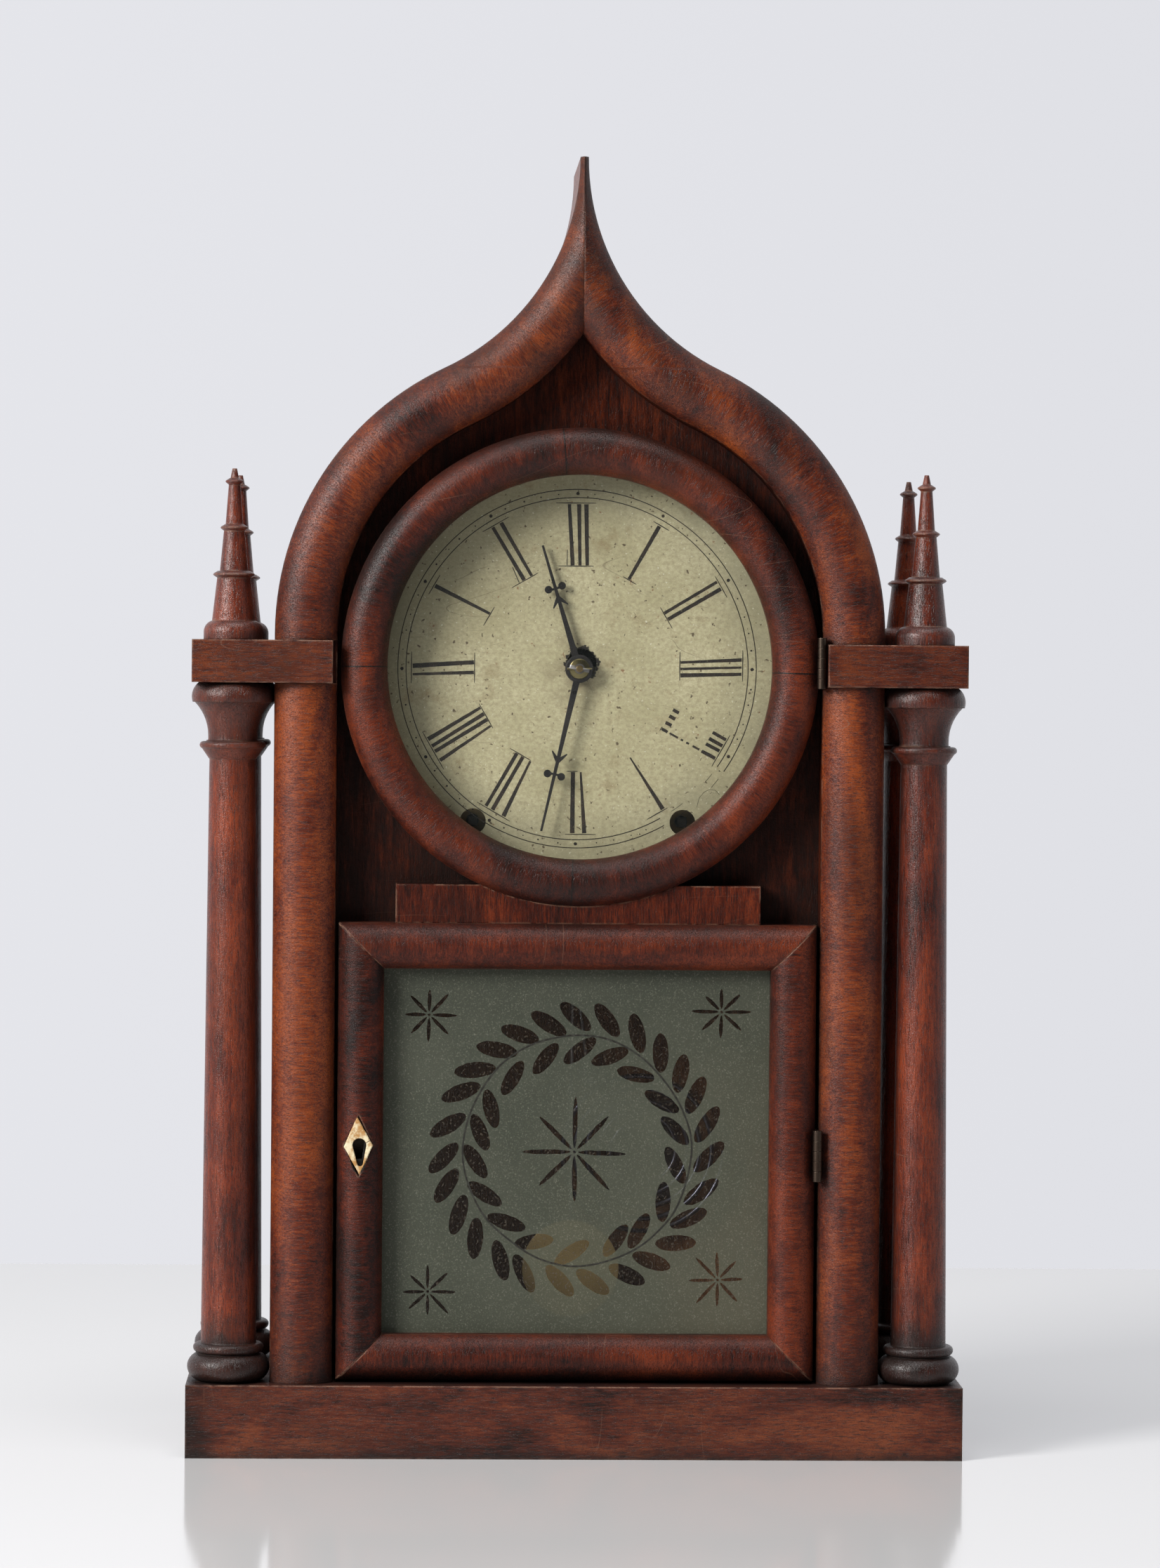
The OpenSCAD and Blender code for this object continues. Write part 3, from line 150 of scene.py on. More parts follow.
def coated(tree, tone, *coats):
    """Lays coats over a colour in turn, each a mask and the colour that shows where it is 1."""
    for mask, colour in coats:
        tone = mixed(tree, mask, tone, colour)
    return tone


print("numbers and colours can be mixed")

# %% Helpers for places
def on_object(tree):
    """The place on the object, which keeps a pattern still when the camera or the object moves."""
    return place(tree, "ShaderNodeTexCoord").outputs["Object"]


def axes(tree, vector):
    return place(tree, "ShaderNodeSeparateXYZ", {0: vector}).outputs


def vector_maths(tree, operation, a, b=(0, 0, 0), output="Vector"):
    return place(tree, "ShaderNodeVectorMath", {0: a, 1: b}, operation=operation).outputs[output]


def stretched(tree, vector, scale=(1, 1, 1), offset=(0, 0, 0), rotation=(0, 0, 0)):
    return result(tree, "ShaderNodeMapping", {
        "Vector": vector, "Location": offset, "Rotation": rotation, "Scale": scale})


def off_axis(tree, x, z, scale=(1, 0, 1)):
    """The step to a place from the line through x and z that runs front to back."""
    return vector_maths(tree, "MULTIPLY", vector_maths(tree, "SUBTRACT", on_object(tree), (x, 0, z)), scale)


def away_from(tree, x, z, scale=(1, 0, 1)):
    return vector_maths(tree, "LENGTH", off_axis(tree, x, z, scale), output="Value")


def middle_of(node):
    low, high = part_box(node)
    return (low + high) / 2


print("places can be measured")

# %% Helpers for noise
def noise(tree, vector, scale, detail=3.0, roughness=0.5, distortion=0.0):
    return result(tree, "ShaderNodeTexNoise", {
        "Vector": vector, "Scale": scale, "Detail": detail, "Roughness": roughness, "Distortion": distortion})


def clouds(tree, vector, scale, detail, roughness, low, high, to_low=0.0, to_high=1.0):
    """A mask of noise, with its part between low and high spread out."""
    return spread(tree, noise(tree, vector, scale, detail, roughness), low, high, to_low, to_high)


def hairlines(tree, vector, wide, thin=0.001):
    """A mask of fine lines, where a smooth noise crosses its middle value."""
    off_line = maths(tree, "ABSOLUTE", minus(tree, noise(tree, vector, 1.0, 0.0), 0.5))
    return spread(tree, off_line, wide, thin)


print("noise is ready")

# %% Helpers that start a tree or a material
def new_tree(name, kind, inputs, outputs):
    """Starts a tree. inputs maps a name to (socket type, value), outputs a name to a type."""
    tree = bpy.data.node_groups.new(name, kind + "NodeTree")
    for key, (sort, value) in inputs.items():
        socket = tree.interface.new_socket(key, in_out="INPUT", socket_type="NodeSocket" + sort)
        if value is not None:
            socket.default_value = (*value, 1) if sort == "Color" else value
    for key, sort in outputs.items():
        tree.interface.new_socket(key, in_out="OUTPUT", socket_type="NodeSocket" + sort)
    return tree, tree.nodes.new("NodeGroupInput").outputs, tree.nodes.new("NodeGroupOutput").inputs


def use(tree, effect, values):
    """Places a shader group in a material, with its own values."""
    return place(tree, "ShaderNodeGroup", values, node_tree=effect).outputs


def material(name, shown):
    """A new material with only its Principled shader. shown is its colour in the solid view."""
    made = bpy.data.materials.new(name)
    made.use_nodes = True
    made.diffuse_color = (*shown, 1)
    return made, made.node_tree, made.node_tree.nodes["Principled BSDF"].inputs


def bumped(tree, shader, height, strength, depth, **more):
    """Shades a height as relief of that depth. more can give the Bump node a Normal to start from."""
    values = {"Strength": strength, "Distance": depth, "Height": height, **more}
    fill(tree, shader, {"Normal": result(tree, "ShaderNodeBump", values)})


print("trees and materials can be started")

# %% [markdown]
# ## Floor
# The clock stood on a pale, faintly glossy table, which ends a little behind it and draws the soft
# line low in the picture. A backdrop that curves up could give the same pale ground, but it has no
# such line, so the table is one flat face that stops where the line has to be.

# %% Floor
table_half, table_front, table_end = 3, -3.4, 0.674
floor_mesh = bpy.data.meshes.new("floor")
floor_mesh.from_pydata([(-table_half, table_front, 0), (table_half, table_front, 0),
                        (table_half, table_end, 0), (-table_half, table_end, 0)], [], [(0, 1, 2, 3)])
floor = put("floor", floor_mesh)
table_paint, tree, shader = material("pale_table", (0.8, 0.8, 0.82))
cloud = noise(tree, on_object(tree), 1.7, 2.0)
fill(tree, shader, {"Base Color": mixed(tree, cloud, (0.69, 0.685, 0.69), (0.75, 0.745, 0.75)),
                    "Roughness": 0.10, "Specular IOR Level": 0.7})
floor_mesh.materials.append(table_paint)
print("floor reaches", floor.dimensions.y, "m in depth")

# %% [markdown]
# ## Wall and air
# Behind the table is a pale wall. A lit backdrop would need a lot of light, which would then fall
# on the clock too. So the wall is the world's colour as the camera and glass see it, and gloss
# sees a room that is pale at the back and dark in front. The light that the world gives off is
# weaker, and comes mostly from the wall's side.

# %% World
world = bpy.data.worlds.new("studio")
bpy.context.scene.world = world
world.use_nodes = True
tree = world.node_tree
toward = axes(tree, place(tree, "ShaderNodeTexCoord").outputs["Generated"])
# Painted light: the wall is a little lighter on the left, towards the window.
left_wall, right_wall = (0.80, 0.805, 0.845), (0.735, 0.74, 0.78)
dark_room, bright_room = (0.05, 0.05, 0.055), (0.87, 0.875, 0.91)
wall = result(tree, "ShaderNodeBackground", {
    "Color": mixed(tree, spread(tree, toward["X"], -0.2, 0.2), left_wall, right_wall), "Strength": 1.0})
room = result(tree, "ShaderNodeBackground", {
    "Color": mixed(tree, spread(tree, toward["Y"], -0.25, 0.3), dark_room, bright_room), "Strength": 1.0})
air = result(tree, "ShaderNodeBackground", {
    "Color": (0.85, 0.87, 0.93), "Strength": spread(tree, toward["Y"], 0.1, 0.8, 0.09, 0.30)})
ray = place(tree, "ShaderNodeLightPath").outputs
seen = maths(tree, "MAXIMUM", ray["Is Camera Ray"], ray["Is Transmission Ray"], clamp=True)
unseen = result(tree, "ShaderNodeMixShader", {0: ray["Is Glossy Ray"], 1: air, 2: room})
shown = result(tree, "ShaderNodeMixShader", {0: seen, 1: unseen, 2: wall})
fill(tree, tree.nodes["World Output"].inputs, {0: shown})
bpy.context.scene.view_settings.view_transform = "Standard"
print("world:", len(tree.nodes), "nodes")

# %% [markdown]
# ## Lamps
# The picture's light is one large window at the left front, which draws long soft highlights down
# the columns, with a little light from above and almost none from the right. Three rectangles do
# that, where a ready-made studio with even light would flatten the mouldings.

# %% Lamps
lamps = {
    "window": ((-2.3, -1.8, 1.6), (0, 0, 0.3), (1.1, 1.3), 138, (1.0, 0.99, 0.97)),
    "reflector": ((2.0, -0.9, 0.7), (0, 0, 0.3), (0.9, 1.3), 3, (0.95, 0.97, 1.0)),
    "ceiling": ((0.0, -0.7, 2.5), (0, 0, 0.1), (1.5, 1.0), 31, (1.0, 1.0, 1.0)),
}
for name, (stands, aim, size, watts, colour) in lamps.items():
    light = bpy.data.lights.new(name, "AREA")
    light.shape = "RECTANGLE"
    light.size, light.size_y = size
    light.energy = watts
    light.color = colour
    lamp = put(name, light)
    lamp.location = stands
    lamp.rotation_euler = (Vector(aim) - Vector(stands)).to_track_quat("-Z", "Y").to_euler()
print("lamps", list(lamps))

# %% [markdown]
# ## Figured wood
# Old polished mahogany has slow clouds of dark patina over a red ground, streaks that run along the
# grain, fine fibres, and pores as short dark dashes. The varnish has shrunk to a fine leathery
# skin. One noise can't hold all that, and a photo of wood would tell one plank's story, so
# each of these is a noise at its own scale, and they are added up to a level that picks the
# colour. As a group, the recipe serves every wood here, each with its own tones.

# %% Group: figured wood
pore_tone, pebble_tone = (0.010, 0.004, 0.003), (0.012, 0.004, 0.003)
wood, ins, outs = new_tree("figured_wood", "Shader", {
    "Along grain": ("Vector", None), "Place": ("Vector", None), "Dark": ("Color", (0.02, 0.006, 0.004)),
    "Middle": ("Color", (0.1, 0.03, 0.02)), "Light": ("Color", (0.2, 0.07, 0.03)),
    "Figure": ("Float", 0.5), "Streaks": ("Float", 0.35), "Pores": ("Float", 0.5),
}, {"Color": "Color", "Roughness": "Float", "Height": "Float"})
grain = ins["Along grain"]
patina = noise(wood, stretched(wood, ins["Place"], (30, 30, 12)), 1.0, 4.0, 0.6, 0.5)
streaks = noise(wood, stretched(wood, grain, (45, 380, 380)), 1.0, 5.0, 0.7, 0.5)
fibres = noise(wood, stretched(wood, grain, (150, 1100, 1100)), 1.0, 4.0, 0.75, 0.2)
pores = clouds(wood, stretched(wood, grain, (210, 2300, 2300)), 1.0, 2.0, 0.6, 0.56, 0.66)
varnish = noise(wood, ins["Place"], 1400, 3.0, 0.65)
slow = times(wood, spread(wood, patina, 0.32, 0.68, -0.5, 0.5), ins["Figure"])
quick = times(wood, spread(wood, streaks, 0.28, 0.72, -0.5, 0.5), ins["Streaks"])
level = plus(wood, plus(wood, slow, quick), spread(wood, fibres, 0.34, 0.66, 0.30, 0.70))
pit = times(wood, pores, ins["Pores"])
tone = coated(wood, ins["Dark"],
              (spread(wood, level, 0.08, 0.46), ins["Middle"]),
              (spread(wood, level, 0.46, 0.92), ins["Light"]),
              (pit, pore_tone),
              (spread(wood, varnish, 0.50, 0.66, 0.0, 0.4), pebble_tone))
height = plus(wood, times(wood, varnish, 0.8), times(wood, fibres, 0.5))
fill(wood, outs, {"Color": tone, "Roughness": spread(wood, varnish, 0.3, 0.7, 0.26, 0.46),
                  "Height": minus(wood, height, times(wood, pit, 0.6))})
print("figured_wood:", len(wood.nodes), "nodes")

# %% [markdown]
# ## Wear
# Hands rub the polish off the edges, keys and cloths leave hairline scratches, dirt stays in the
# corners, and soot settles on what faces up. The corners are also darkened as painted shade, where
# the surroundings would shade them. This could be painted by hand on each piece, but a group finds
# the places by itself. An edge is where the rounded normal departs from the flat one, a corner is
# where the surroundings shade it, and a noise breaks each of them up.

# %% Group: wear on edges, and scratches
wear, ins, outs = new_tree("wear", "Shader", {
    "Place": ("Vector", None), "Radius": ("Float", 0.0012), "Edges": ("Float", 0.6),
    "Scratches": ("Float", 0.55), "Dirt and shade": ("Float", 0.6),
}, {"Edge": "Float", "Scratch": "Float", "Dirt and shade": "Float", "Soot": "Float", "Blot": "Float",
    "Normal": "Vector"})
spot = ins["Place"]
rounded = result(wear, "ShaderNodeBevel", {"Radius": ins["Radius"]}, samples=4)
flat = place(wear, "ShaderNodeNewGeometry").outputs["Normal"]
near_edge = spread(wear, vector_maths(wear, "DOT_PRODUCT", rounded, flat, "Value"), 0.998, 0.90)
worn = clouds(wear, spot, 130, 5.0, 0.65, 0.42, 0.66)
lines = hairlines(wear, stretched(wear, spot, (11, 7, 60), rotation=(0.4, 0.9, 0.7)), 0.0035)
patch = clouds(wear, spot, 24, 3.0, 0.5, 0.52, 0.66)
fill(wear, outs, {"Edge": times(wear, times(wear, near_edge, worn), ins["Edges"], clamp=True),
                  "Scratch": times(wear, times(wear, lines, patch), ins["Scratches"], clamp=True),
                  "Normal": rounded})
print("wear: edges and scratches")

# %% Group: dirt and painted shade in corners, soot and blots
# Painted shade: corners are darkened as much as their surroundings hide them, with dirt in the same mask.
open_air = place(wear, "ShaderNodeAmbientOcclusion", {"Distance": 0.012}, samples=4).outputs["AO"]
film = clouds(wear, spot, 60, 4.0, 0.6, 0.3, 0.7, 0.35, 1.0)
in_corner = times(wear, spread(wear, open_air, 0.85, 0.35), film)
facing_up = spread(wear, axes(wear, flat)["Z"], 0.05, 0.85)
settled = clouds(wear, spot, 48, 5.0, 0.65, 0.32, 0.66, 0.35, 1.0)
fill(wear, outs, {"Dirt and shade": times(wear, in_corner, ins["Dirt and shade"], clamp=True),
                  "Soot": times(wear, facing_up, settled, clamp=True),
                  "Blot": clouds(wear, stretched(wear, spot, (1, 1, 0.6), (1.3, 0.2, 0.6)),
                                 24, 6.0, 0.64, 0.50, 0.70)})
print("wear:", len(wear.nodes), "nodes")

# %% [markdown]
# ## The way the grain runs
# The case, door and mouldings are crossbanded: their veneer's grain runs across the moulding, and
# so turns with the ring and with the onion. A texture could be laid out on each piece by hand, but
# rules are enough here. Straight pieces swap X, Y and Z, and round ones use the radius and the
# length along the arc, so that the grain points at the centre all the way round.

# %% Directions of the grain
def swapped(tree, order, shift=(0, 0, 0)):
    """The place on the object, shifted, with the axis named first as the one along the grain."""
    apart = axes(tree, stretched(tree, on_object(tree), offset=shift))
    return result(tree, "ShaderNodeCombineXYZ", {i: apart[axis] for i, axis in enumerate(order)})


def round_about(tree, centre, mean_radius):
    """Radius, arc length and depth about a centre in the X-Z plane, and the angle there."""
    apart = axes(tree, stretched(tree, on_object(tree), offset=(-centre[0], 0, -centre[1])))
    square = plus(tree, times(tree, apart["X"], apart["X"]), times(tree, apart["Z"], apart["Z"]))
    angle = maths(tree, "ARCTAN2", apart["Z"], apart["X"])
    arc = times(tree, angle, mean_radius)
    turned = {0: maths(tree, "SQRT", square), 1: arc, 2: apart["Y"]}
    return result(tree, "ShaderNodeCombineXYZ", turned), angle


print("grain can run straight or round")

# %% [markdown]
# ## The wood's finish
# A finish is laid on in layers: the figured wood, soot where it faces up, blots of old polish, dirt
# and painted shade in the corners, bare wood on the edges, scratches, and darker bands: grime where
# feet and hands come near, and painted shade on the recessed panel. Baked pictures could hold this
# too, but they fit one piece only. Here each wood is a few values: how strong its figure is, how
# glossy it is and where its darker bands begin and end.

# %% Wood finish
soot_tone, blot_tone, grime_tone = (0.019, 0.0068, 0.0050), (0.012, 0.0042, 0.0030), (0.009, 0.0055, 0.0045)
dirt_and_shade_tone, edge_tone, scratch_tone = (0.006, 0.0035, 0.003), (0.24, 0.13, 0.085), (0.17, 0.08, 0.05)


def finish_wood(tree, shader, grain, tones, figure=0.5, streaks=0.4, pores=0.65, edges=0.8, gloss=0.0,
                sheen=0.28, grime=(), lay="XYZ", phase=(0, 0, 0)):
    """Puts figured wood with wear on a Principled shader. lay and phase move its patina."""
    spot = swapped(tree, lay, phase)
    dark, middle, light = tones
    body = use(tree, wood, {"Along grain": grain, "Place": spot, "Dark": dark, "Middle": middle,
                            "Light": light, "Figure": figure, "Streaks": streaks, "Pores": pores})
    marks = use(tree, wear, {"Place": spot, "Edges": edges, "Dirt and shade": 1.0})
    # Dirt and painted shade darken the corners.
    tone = coated(tree, body["Color"],
                  (times(tree, marks["Soot"], 0.7), soot_tone), (times(tree, marks["Blot"], 0.6), blot_tone),
                  (marks["Dirt and shade"], dirt_and_shade_tone), (marks["Edge"], edge_tone), (marks["Scratch"], scratch_tone))
    along = axes(tree, on_object(tree))
    # Darker bands: grime on some woods, painted shade on the recessed front panel.
    for axis, start, end, amount in grime:
        ragged = times(tree, clouds(tree, spot, 70, 4.0, 0.6, 0.3, 0.7, -0.5, 0.5), abs(end - start))
        reached = spread(tree, plus(tree, along[axis], ragged), start, end, 0.0, amount)
        tone = mixed(tree, reached, tone, grime_tone)
    rough = plus(tree, body["Roughness"], times(tree, marks["Dirt and shade"], 0.25))
    fill(tree, shader, {"Base Color": tone, "Roughness": plus(tree, rough, -gloss),
                        "Specular IOR Level": sheen})
    bumped(tree, shader, body["Height"], 0.7, 0.0003, Normal=marks["Normal"])


def straight_wood(name, order, tones, shift=(0, 0, 0), **more):
    made, tree, shader = material(name, tones[1])
    finish_wood(tree, shader, swapped(tree, order, shift), tones, **more)
    return made


def dress(finish, *names):
    """Gives a finish to CAD nodes whose shape is right as it is."""
    for name in names:
        slots = nodes[name].data.materials
        slots.clear()
        slots.append(finish)


def overlay(finish, mask, colour):
    """Lays one more colour over a finish that is already made."""
    tree = finish.node_tree
    shader = tree.nodes["Principled BSDF"].inputs
    tone = shader["Base Color"].links[0].from_socket
    fill(tree, shader, {"Base Color": mixed(tree, mask, tone, colour)})


print("wood can be finished")

# %% [markdown]
# ## The case's woods
# The case is mahogany veneer on pine. One red for all of it would look moulded, so base, rails,
# caps, sides and front panel each get their own tones, plank and wear, as cut from different
# leaves. The base is grimy at its ends and darker along its foot, as are the rails where they meet it.

# %% Base, rails and caps
case_tones = ((0.015, 0.0033, 0.0022), (0.094, 0.0145, 0.0046), (0.240, 0.0490, 0.0095))
base_tones = ((0.013, 0.0048, 0.0034), (0.080, 0.0170, 0.0085), (0.170, 0.0440, 0.0170))
cap_tones = ((0.012, 0.0034, 0.0024), (0.068, 0.0125, 0.0048), (0.150, 0.0330, 0.0090))
base_grime = (("X", -0.158, -0.171, 0.75), ("X", 0.163, 0.173, 0.6), ("Z", 0.004, -0.001, 0.6))
rail_grime = (("Z", 0.070, 0.032, 0.55),)
dress(straight_wood("base_mahogany", "XYZ", base_tones, (0, 0, 0.013), figure=0.7, edges=2.2, lay="ZYX",
                    grime=base_grime), "base_board")
dress(straight_wood("crossbanded_left", "XZY", case_tones, (0.3, 0, 0.1), figure=0.65,
                    phase=(0.4, 0, 0.23), grime=rail_grime), "rail_left")
dress(straight_wood("crossbanded_right", "XZY", case_tones, (0.8, 0, 0.7), figure=0.8,
                    grime=rail_grime), "rail_right")
dress(straight_wood("cap_mahogany", "XYZ", cap_tones, (0.9, 0, 0.2), edges=1.8),
      "cap_block_left", "cap_block_right")
print("base, rails and caps dressed")

# %% Sides, roof, front panel and the pine inside
panel_tones = ((0.007, 0.0018, 0.0012), (0.040, 0.0066, 0.0023), (0.110, 0.0190, 0.0050))
pine_tones = ((0.070, 0.027, 0.010), (0.180, 0.080, 0.031), (0.30, 0.16, 0.070))
dress(straight_wood("side_veneer", "ZYX", case_tones, (0.2, 0.5, 0)), "case_side_left", "case_side_right")
dress(straight_wood("roof_veneer", "YXZ", case_tones, (0.4, 0.1, 0)), "roof_left", "roof_right")
dress(straight_wood("frame_wood", "ZXY", panel_tones, (0.1, 0, 0), sheen=0.1), "front_frame")
# Painted shade: the recessed front panel is darker low down, where the rails and the ring shade it.
dress(straight_wood("panel_veneer", "ZXY", panel_tones, (0.25, 0, 0.4), figure=0.35, streaks=0.8,
                    pores=0.7, sheen=0.1, grime=(("Z", 0.34, 0.25, 0.65),)), "front_panel")
dress(straight_wood("old_pine", "ZXY", pine_tones, figure=0.4, edges=0.2), "back_board")
dress(straight_wood("strip_pine", "XZY", pine_tones, edges=0.2), "movement_strips", "glass_strips")
print("sides, roof, panel and pine dressed")

# %% [markdown]
# ## The door's frame
# The door's stiles and rails are darker than the case, from the hands that opened it. Under the
# bone escutcheon the wood is painted nearly black, which shows as painted shade inside the keyhole
# and as a dark stain beside the bone's lower point. A second piece of dark wood could stand for that,
# but it is only colour, so it is a soft lozenge laid over the stiles' finish.

# %% Door
door_tones = ((0.010, 0.0027, 0.0018), (0.064, 0.0100, 0.0040), (0.160, 0.0275, 0.0080))
stiles = straight_wood("door_stiles", "XZY", door_tones, (0.5, 0, 0.3), figure=0.95, edges=1.6, sheen=0.22)
key_at = middle_of("escutcheon")
shade_and_stain_low, per_shade_and_stain_half = 0.0035, (250, 0, 110)
tree = stiles.node_tree
# Painted shade inside the keyhole, and a dark stain beside the bone's lower point.
keyhole_shade_and_stain = spread(tree, away_from(tree, key_at.x, key_at.z - shade_and_stain_low, per_shade_and_stain_half), 1.0, 0.9)
overlay(stiles, keyhole_shade_and_stain, (0.004, 0.003, 0.002))
dress(stiles, "door_stile_left", "door_stile_right")
dress(straight_wood("door_rails", "ZXY", door_tones, (0.2, 0, 0.9), figure=0.9, edges=1.6, sheen=0.22,
                    lay="ZYX"), "door_rail_top", "door_rail_bottom")
dress(straight_wood("neck_veneer", "ZXY", door_tones, (0.55, 0, 0.1), figure=0.3, streaks=0.6, edges=2.4,
                    sheen=0.15), "door_neck")
print("door's frame dressed round", [round(v, 4) for v in key_at])

# %% [markdown]
# ## Columns and spires
# The columns and spires were turned from solid wood and polished on the lathe, so they are glossier
# than the veneer, and their grain runs up. The finish is the same recipe with less roughness.
# Grime lies on their feet, where a cloth doesn't reach, and thinly below the capitals.

# %% Columns and spires
turned_tones = ((0.015, 0.0036, 0.0025), (0.100, 0.0150, 0.0058), (0.225, 0.0400, 0.0125))
column_grime = (("Z", 0.064, 0.044, 0.85), ("Z", 0.296, 0.316, 0.45))
dress(straight_wood("turned_columns", "ZXY", turned_tones, (0.6, 0.2, 0.1), figure=0.6, gloss=0.05,
                    sheen=0.4, grime=column_grime), "columns_left", "columns_right")
dress(straight_wood("turned_spires", "ZXY", turned_tones, (0.1, 0.9, 0.7), figure=0.6, edges=1.2,
                    gloss=0.06, sheen=0.5), "spires_left", "spires_right")
print("columns and spires dressed")

# %% [markdown]
# ## The ring round the dial
# The bezel was veneered in four lengths, which meet in fine dark joints near the quarters. The
# joints could be grooves, but they are flush and only a hair wide, so they are drawn: a joint lies
# where the cosine of the angle from it is nearly 1, which works all the way round with no seam.

# %% Ring
ring_at = middle_of("bezel_ring")
ring_mean_r = 0.095
joint_degrees = (94.6, 180.3, 358.8, 268.2)
joint_edge, joint_core = 0.000009, 0.000003
ring_veneer, tree, shader = material("ring_veneer", door_tones[1])
grain, angle = round_about(tree, (ring_at.x, ring_at.z), ring_mean_r)
# The ring is darker towards its top, its bottom and its left.
finish_wood(tree, shader, grain, door_tones, figure=0.9, streaks=0.35, sheen=0.24,
            grime=(("Z", 0.415, 0.452, 0.6), ("Z", 0.275, 0.242, 0.35), ("X", -0.080, -0.118, 0.4)))
joints = 0.0
for degrees in joint_degrees:
    turned = maths(tree, "COSINE", minus(tree, angle, math.radians(degrees)))
    joint = spread(tree, minus(tree, 1.0, turned), joint_edge, joint_core)
    joints = maths(tree, "MAXIMUM", joints, joint)
overlay(ring_veneer, joints, (0.008, 0.004, 0.003))
dress(ring_veneer, "bezel_ring")

# %% [markdown]
# ## The onion's moulding
# The half-round moulding follows two arcs on each side, an outer one round the shoulder and an
# inner one that sweeps up to the tip. Its grain crosses it all the way, so it points at the
# shoulder's centre below the place where the arcs meet, and at the sweep's centre above it. The
# two sets of coordinates are mixed in a step there. The sides are mirrored, with other patina.

# %% Onion
arch_low, arch_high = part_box("arch_moulding_right")
shoulder_x, shoulder_z, shoulder_mean_r = 0.0046, arch_low.z + 0.0032, 0.115
sweep_x, sweep_z, sweep_mean_r = 0.1042, arch_high.z, 0.116
arcs_meet_z, step_half = 0.4770, 0.0005
sides = (("left", -1, (0.2, 0, 0.5), 0.65), ("right", 1, (0, 0, 0), 1.0))
for side, sign, phase, figure in sides:
    made, tree, shader = material(f"onion_veneer_{side}", case_tones[1])
    low_grain, _ = round_about(tree, (sign * shoulder_x, shoulder_z), shoulder_mean_r)
    high_grain, _ = round_about(tree, (sign * sweep_x, sweep_z), sweep_mean_r)
    over = spread(tree, axes(tree, on_object(tree))["Z"], arcs_meet_z - step_half, arcs_meet_z + step_half)
    both = place(tree, "ShaderNodeMix", {0: over, 4: low_grain, 5: high_grain}, data_type="VECTOR")
    grain = both.outputs[1]
    finish_wood(tree, shader, grain, case_tones, figure=figure, phase=phase, grime=(("Z", 0.44, 0.57, 0.6),))
    dress(made, f"arch_moulding_{side}")
print("onion's moulding dressed on", len(sides), "sides")

# %% [markdown]
# ## Tarnished metal
# Brass that has not been polished for a century is brown in its hollows and dull in patches, and
# old iron is near black with a soft sheen. A single metal colour would look like plating. One
# group mixes a clean and a dull colour by slow blotches and a fine grain, and makes the dull parts
# rougher. It serves all the metals, so a new one is two colours and an amount.

# %% Group: tarnish
tarnish, ins, outs = new_tree("tarnish", "Shader", {
    "Place": ("Vector", None), "Clean": ("Color", (0.7, 0.5, 0.25)),
    "Dull": ("Color", (0.2, 0.12, 0.05)), "Amount": ("Float", 0.5), "Grain": ("Float", 300.0),
}, {"Color": "Color", "Roughness": "Float", "Height": "Float"})
blotch = clouds(tarnish, ins["Place"], 55, 5.0, 0.65, 0.35, 0.68)
fine = noise(tarnish, ins["Place"], ins["Grain"], 3.0, 0.6)
cover = times(tarnish, plus(tarnish, blotch, spread(tarnish, fine, 0.3, 0.8, 0.0, 0.4)),
              ins["Amount"], clamp=True)
fill(tarnish, outs, {"Color": mixed(tarnish, cover, ins["Clean"], ins["Dull"]),
                     "Roughness": spread(tarnish, cover, 0.0, 1.0, 0.24, 0.55), "Height": fine})
print("tarnish:", len(tarnish.nodes), "nodes")

# %% Metal finish
def metal(name, clean, dull, amount, metallic=1.0):
    """A metal between its clean and its dull colour, with dirt and painted shade darkening its corners."""
    made, tree, shader = material(name, clean)
    spot = on_object(tree)
    skin = use(tree, tarnish, {"Place": spot, "Clean": clean, "Dull": dull, "Amount": amount, "Grain": 900.0})
    marks = use(tree, wear, {"Place": spot, "Radius": 0.0004})
    tone = mixed(tree, marks["Dirt and shade"], skin["Color"], [0.3 * v for v in dull])
    fill(tree, shader, {"Base Color": tone, "Roughness": skin["Roughness"], "Metallic": metallic})
    bumped(tree, shader, skin["Height"], 0.15, 0.0001, Normal=marks["Normal"])
    return made


clean_brass, dull_brass = (0.66, 0.49, 0.22), (0.20, 0.13, 0.06)
gong_steel = metal("blued_steel", (0.15, 0.16, 0.20), (0.08, 0.06, 0.05), 0.4)
dress(gong_steel, "mainsprings")
dress(metal("clock_brass", clean_brass, dull_brass, 0.5), "movement_plate_back", "movement_pillars",
      "time_great_wheel", "strike_great_wheel", "second_wheel", "centre_wheel", "third_wheel",
      "escape_wheel", "minute_wheel", "pin_wheel", "strike_fly", "count_wheel")
dress(metal("bob_brass", (0.78, 0.60, 0.27), (0.50, 0.34, 0.13), 0.45, 0.45), "pendulum_bob")
dress(metal("bright_steel", (0.46, 0.46, 0.45), (0.16, 0.13, 0.11), 0.4), "verge", "hammer", "pendulum_rod")
# Painted shade: the winding arbors are near black, for the deep holes in the dial they sit in.
dress(metal("winding_steel_painted_dark", (0.10, 0.095, 0.09), (0.035, 0.03, 0.025), 0.7),
      "time_winding_arbor", "strike_winding_arbor")
dress(metal("hand_black", (0.018, 0.018, 0.020), (0.040, 0.033, 0.028), 0.6, 0.2), "minute_hand", "hour_hand")
dress(metal("hinge_iron", (0.10, 0.075, 0.058), (0.035, 0.022, 0.016), 0.7),
      "hinge_door_leaves", "hinge_case_leaves")
dress(metal("lock_iron", (0.13, 0.115, 0.10), (0.06, 0.035, 0.02), 0.6), "lock_case", "lock_bolt")
dress(metal("japanned_iron", (0.030, 0.027, 0.025), (0.055, 0.040, 0.030), 0.4, 0.3), "gong_block")
print("metals dressed")
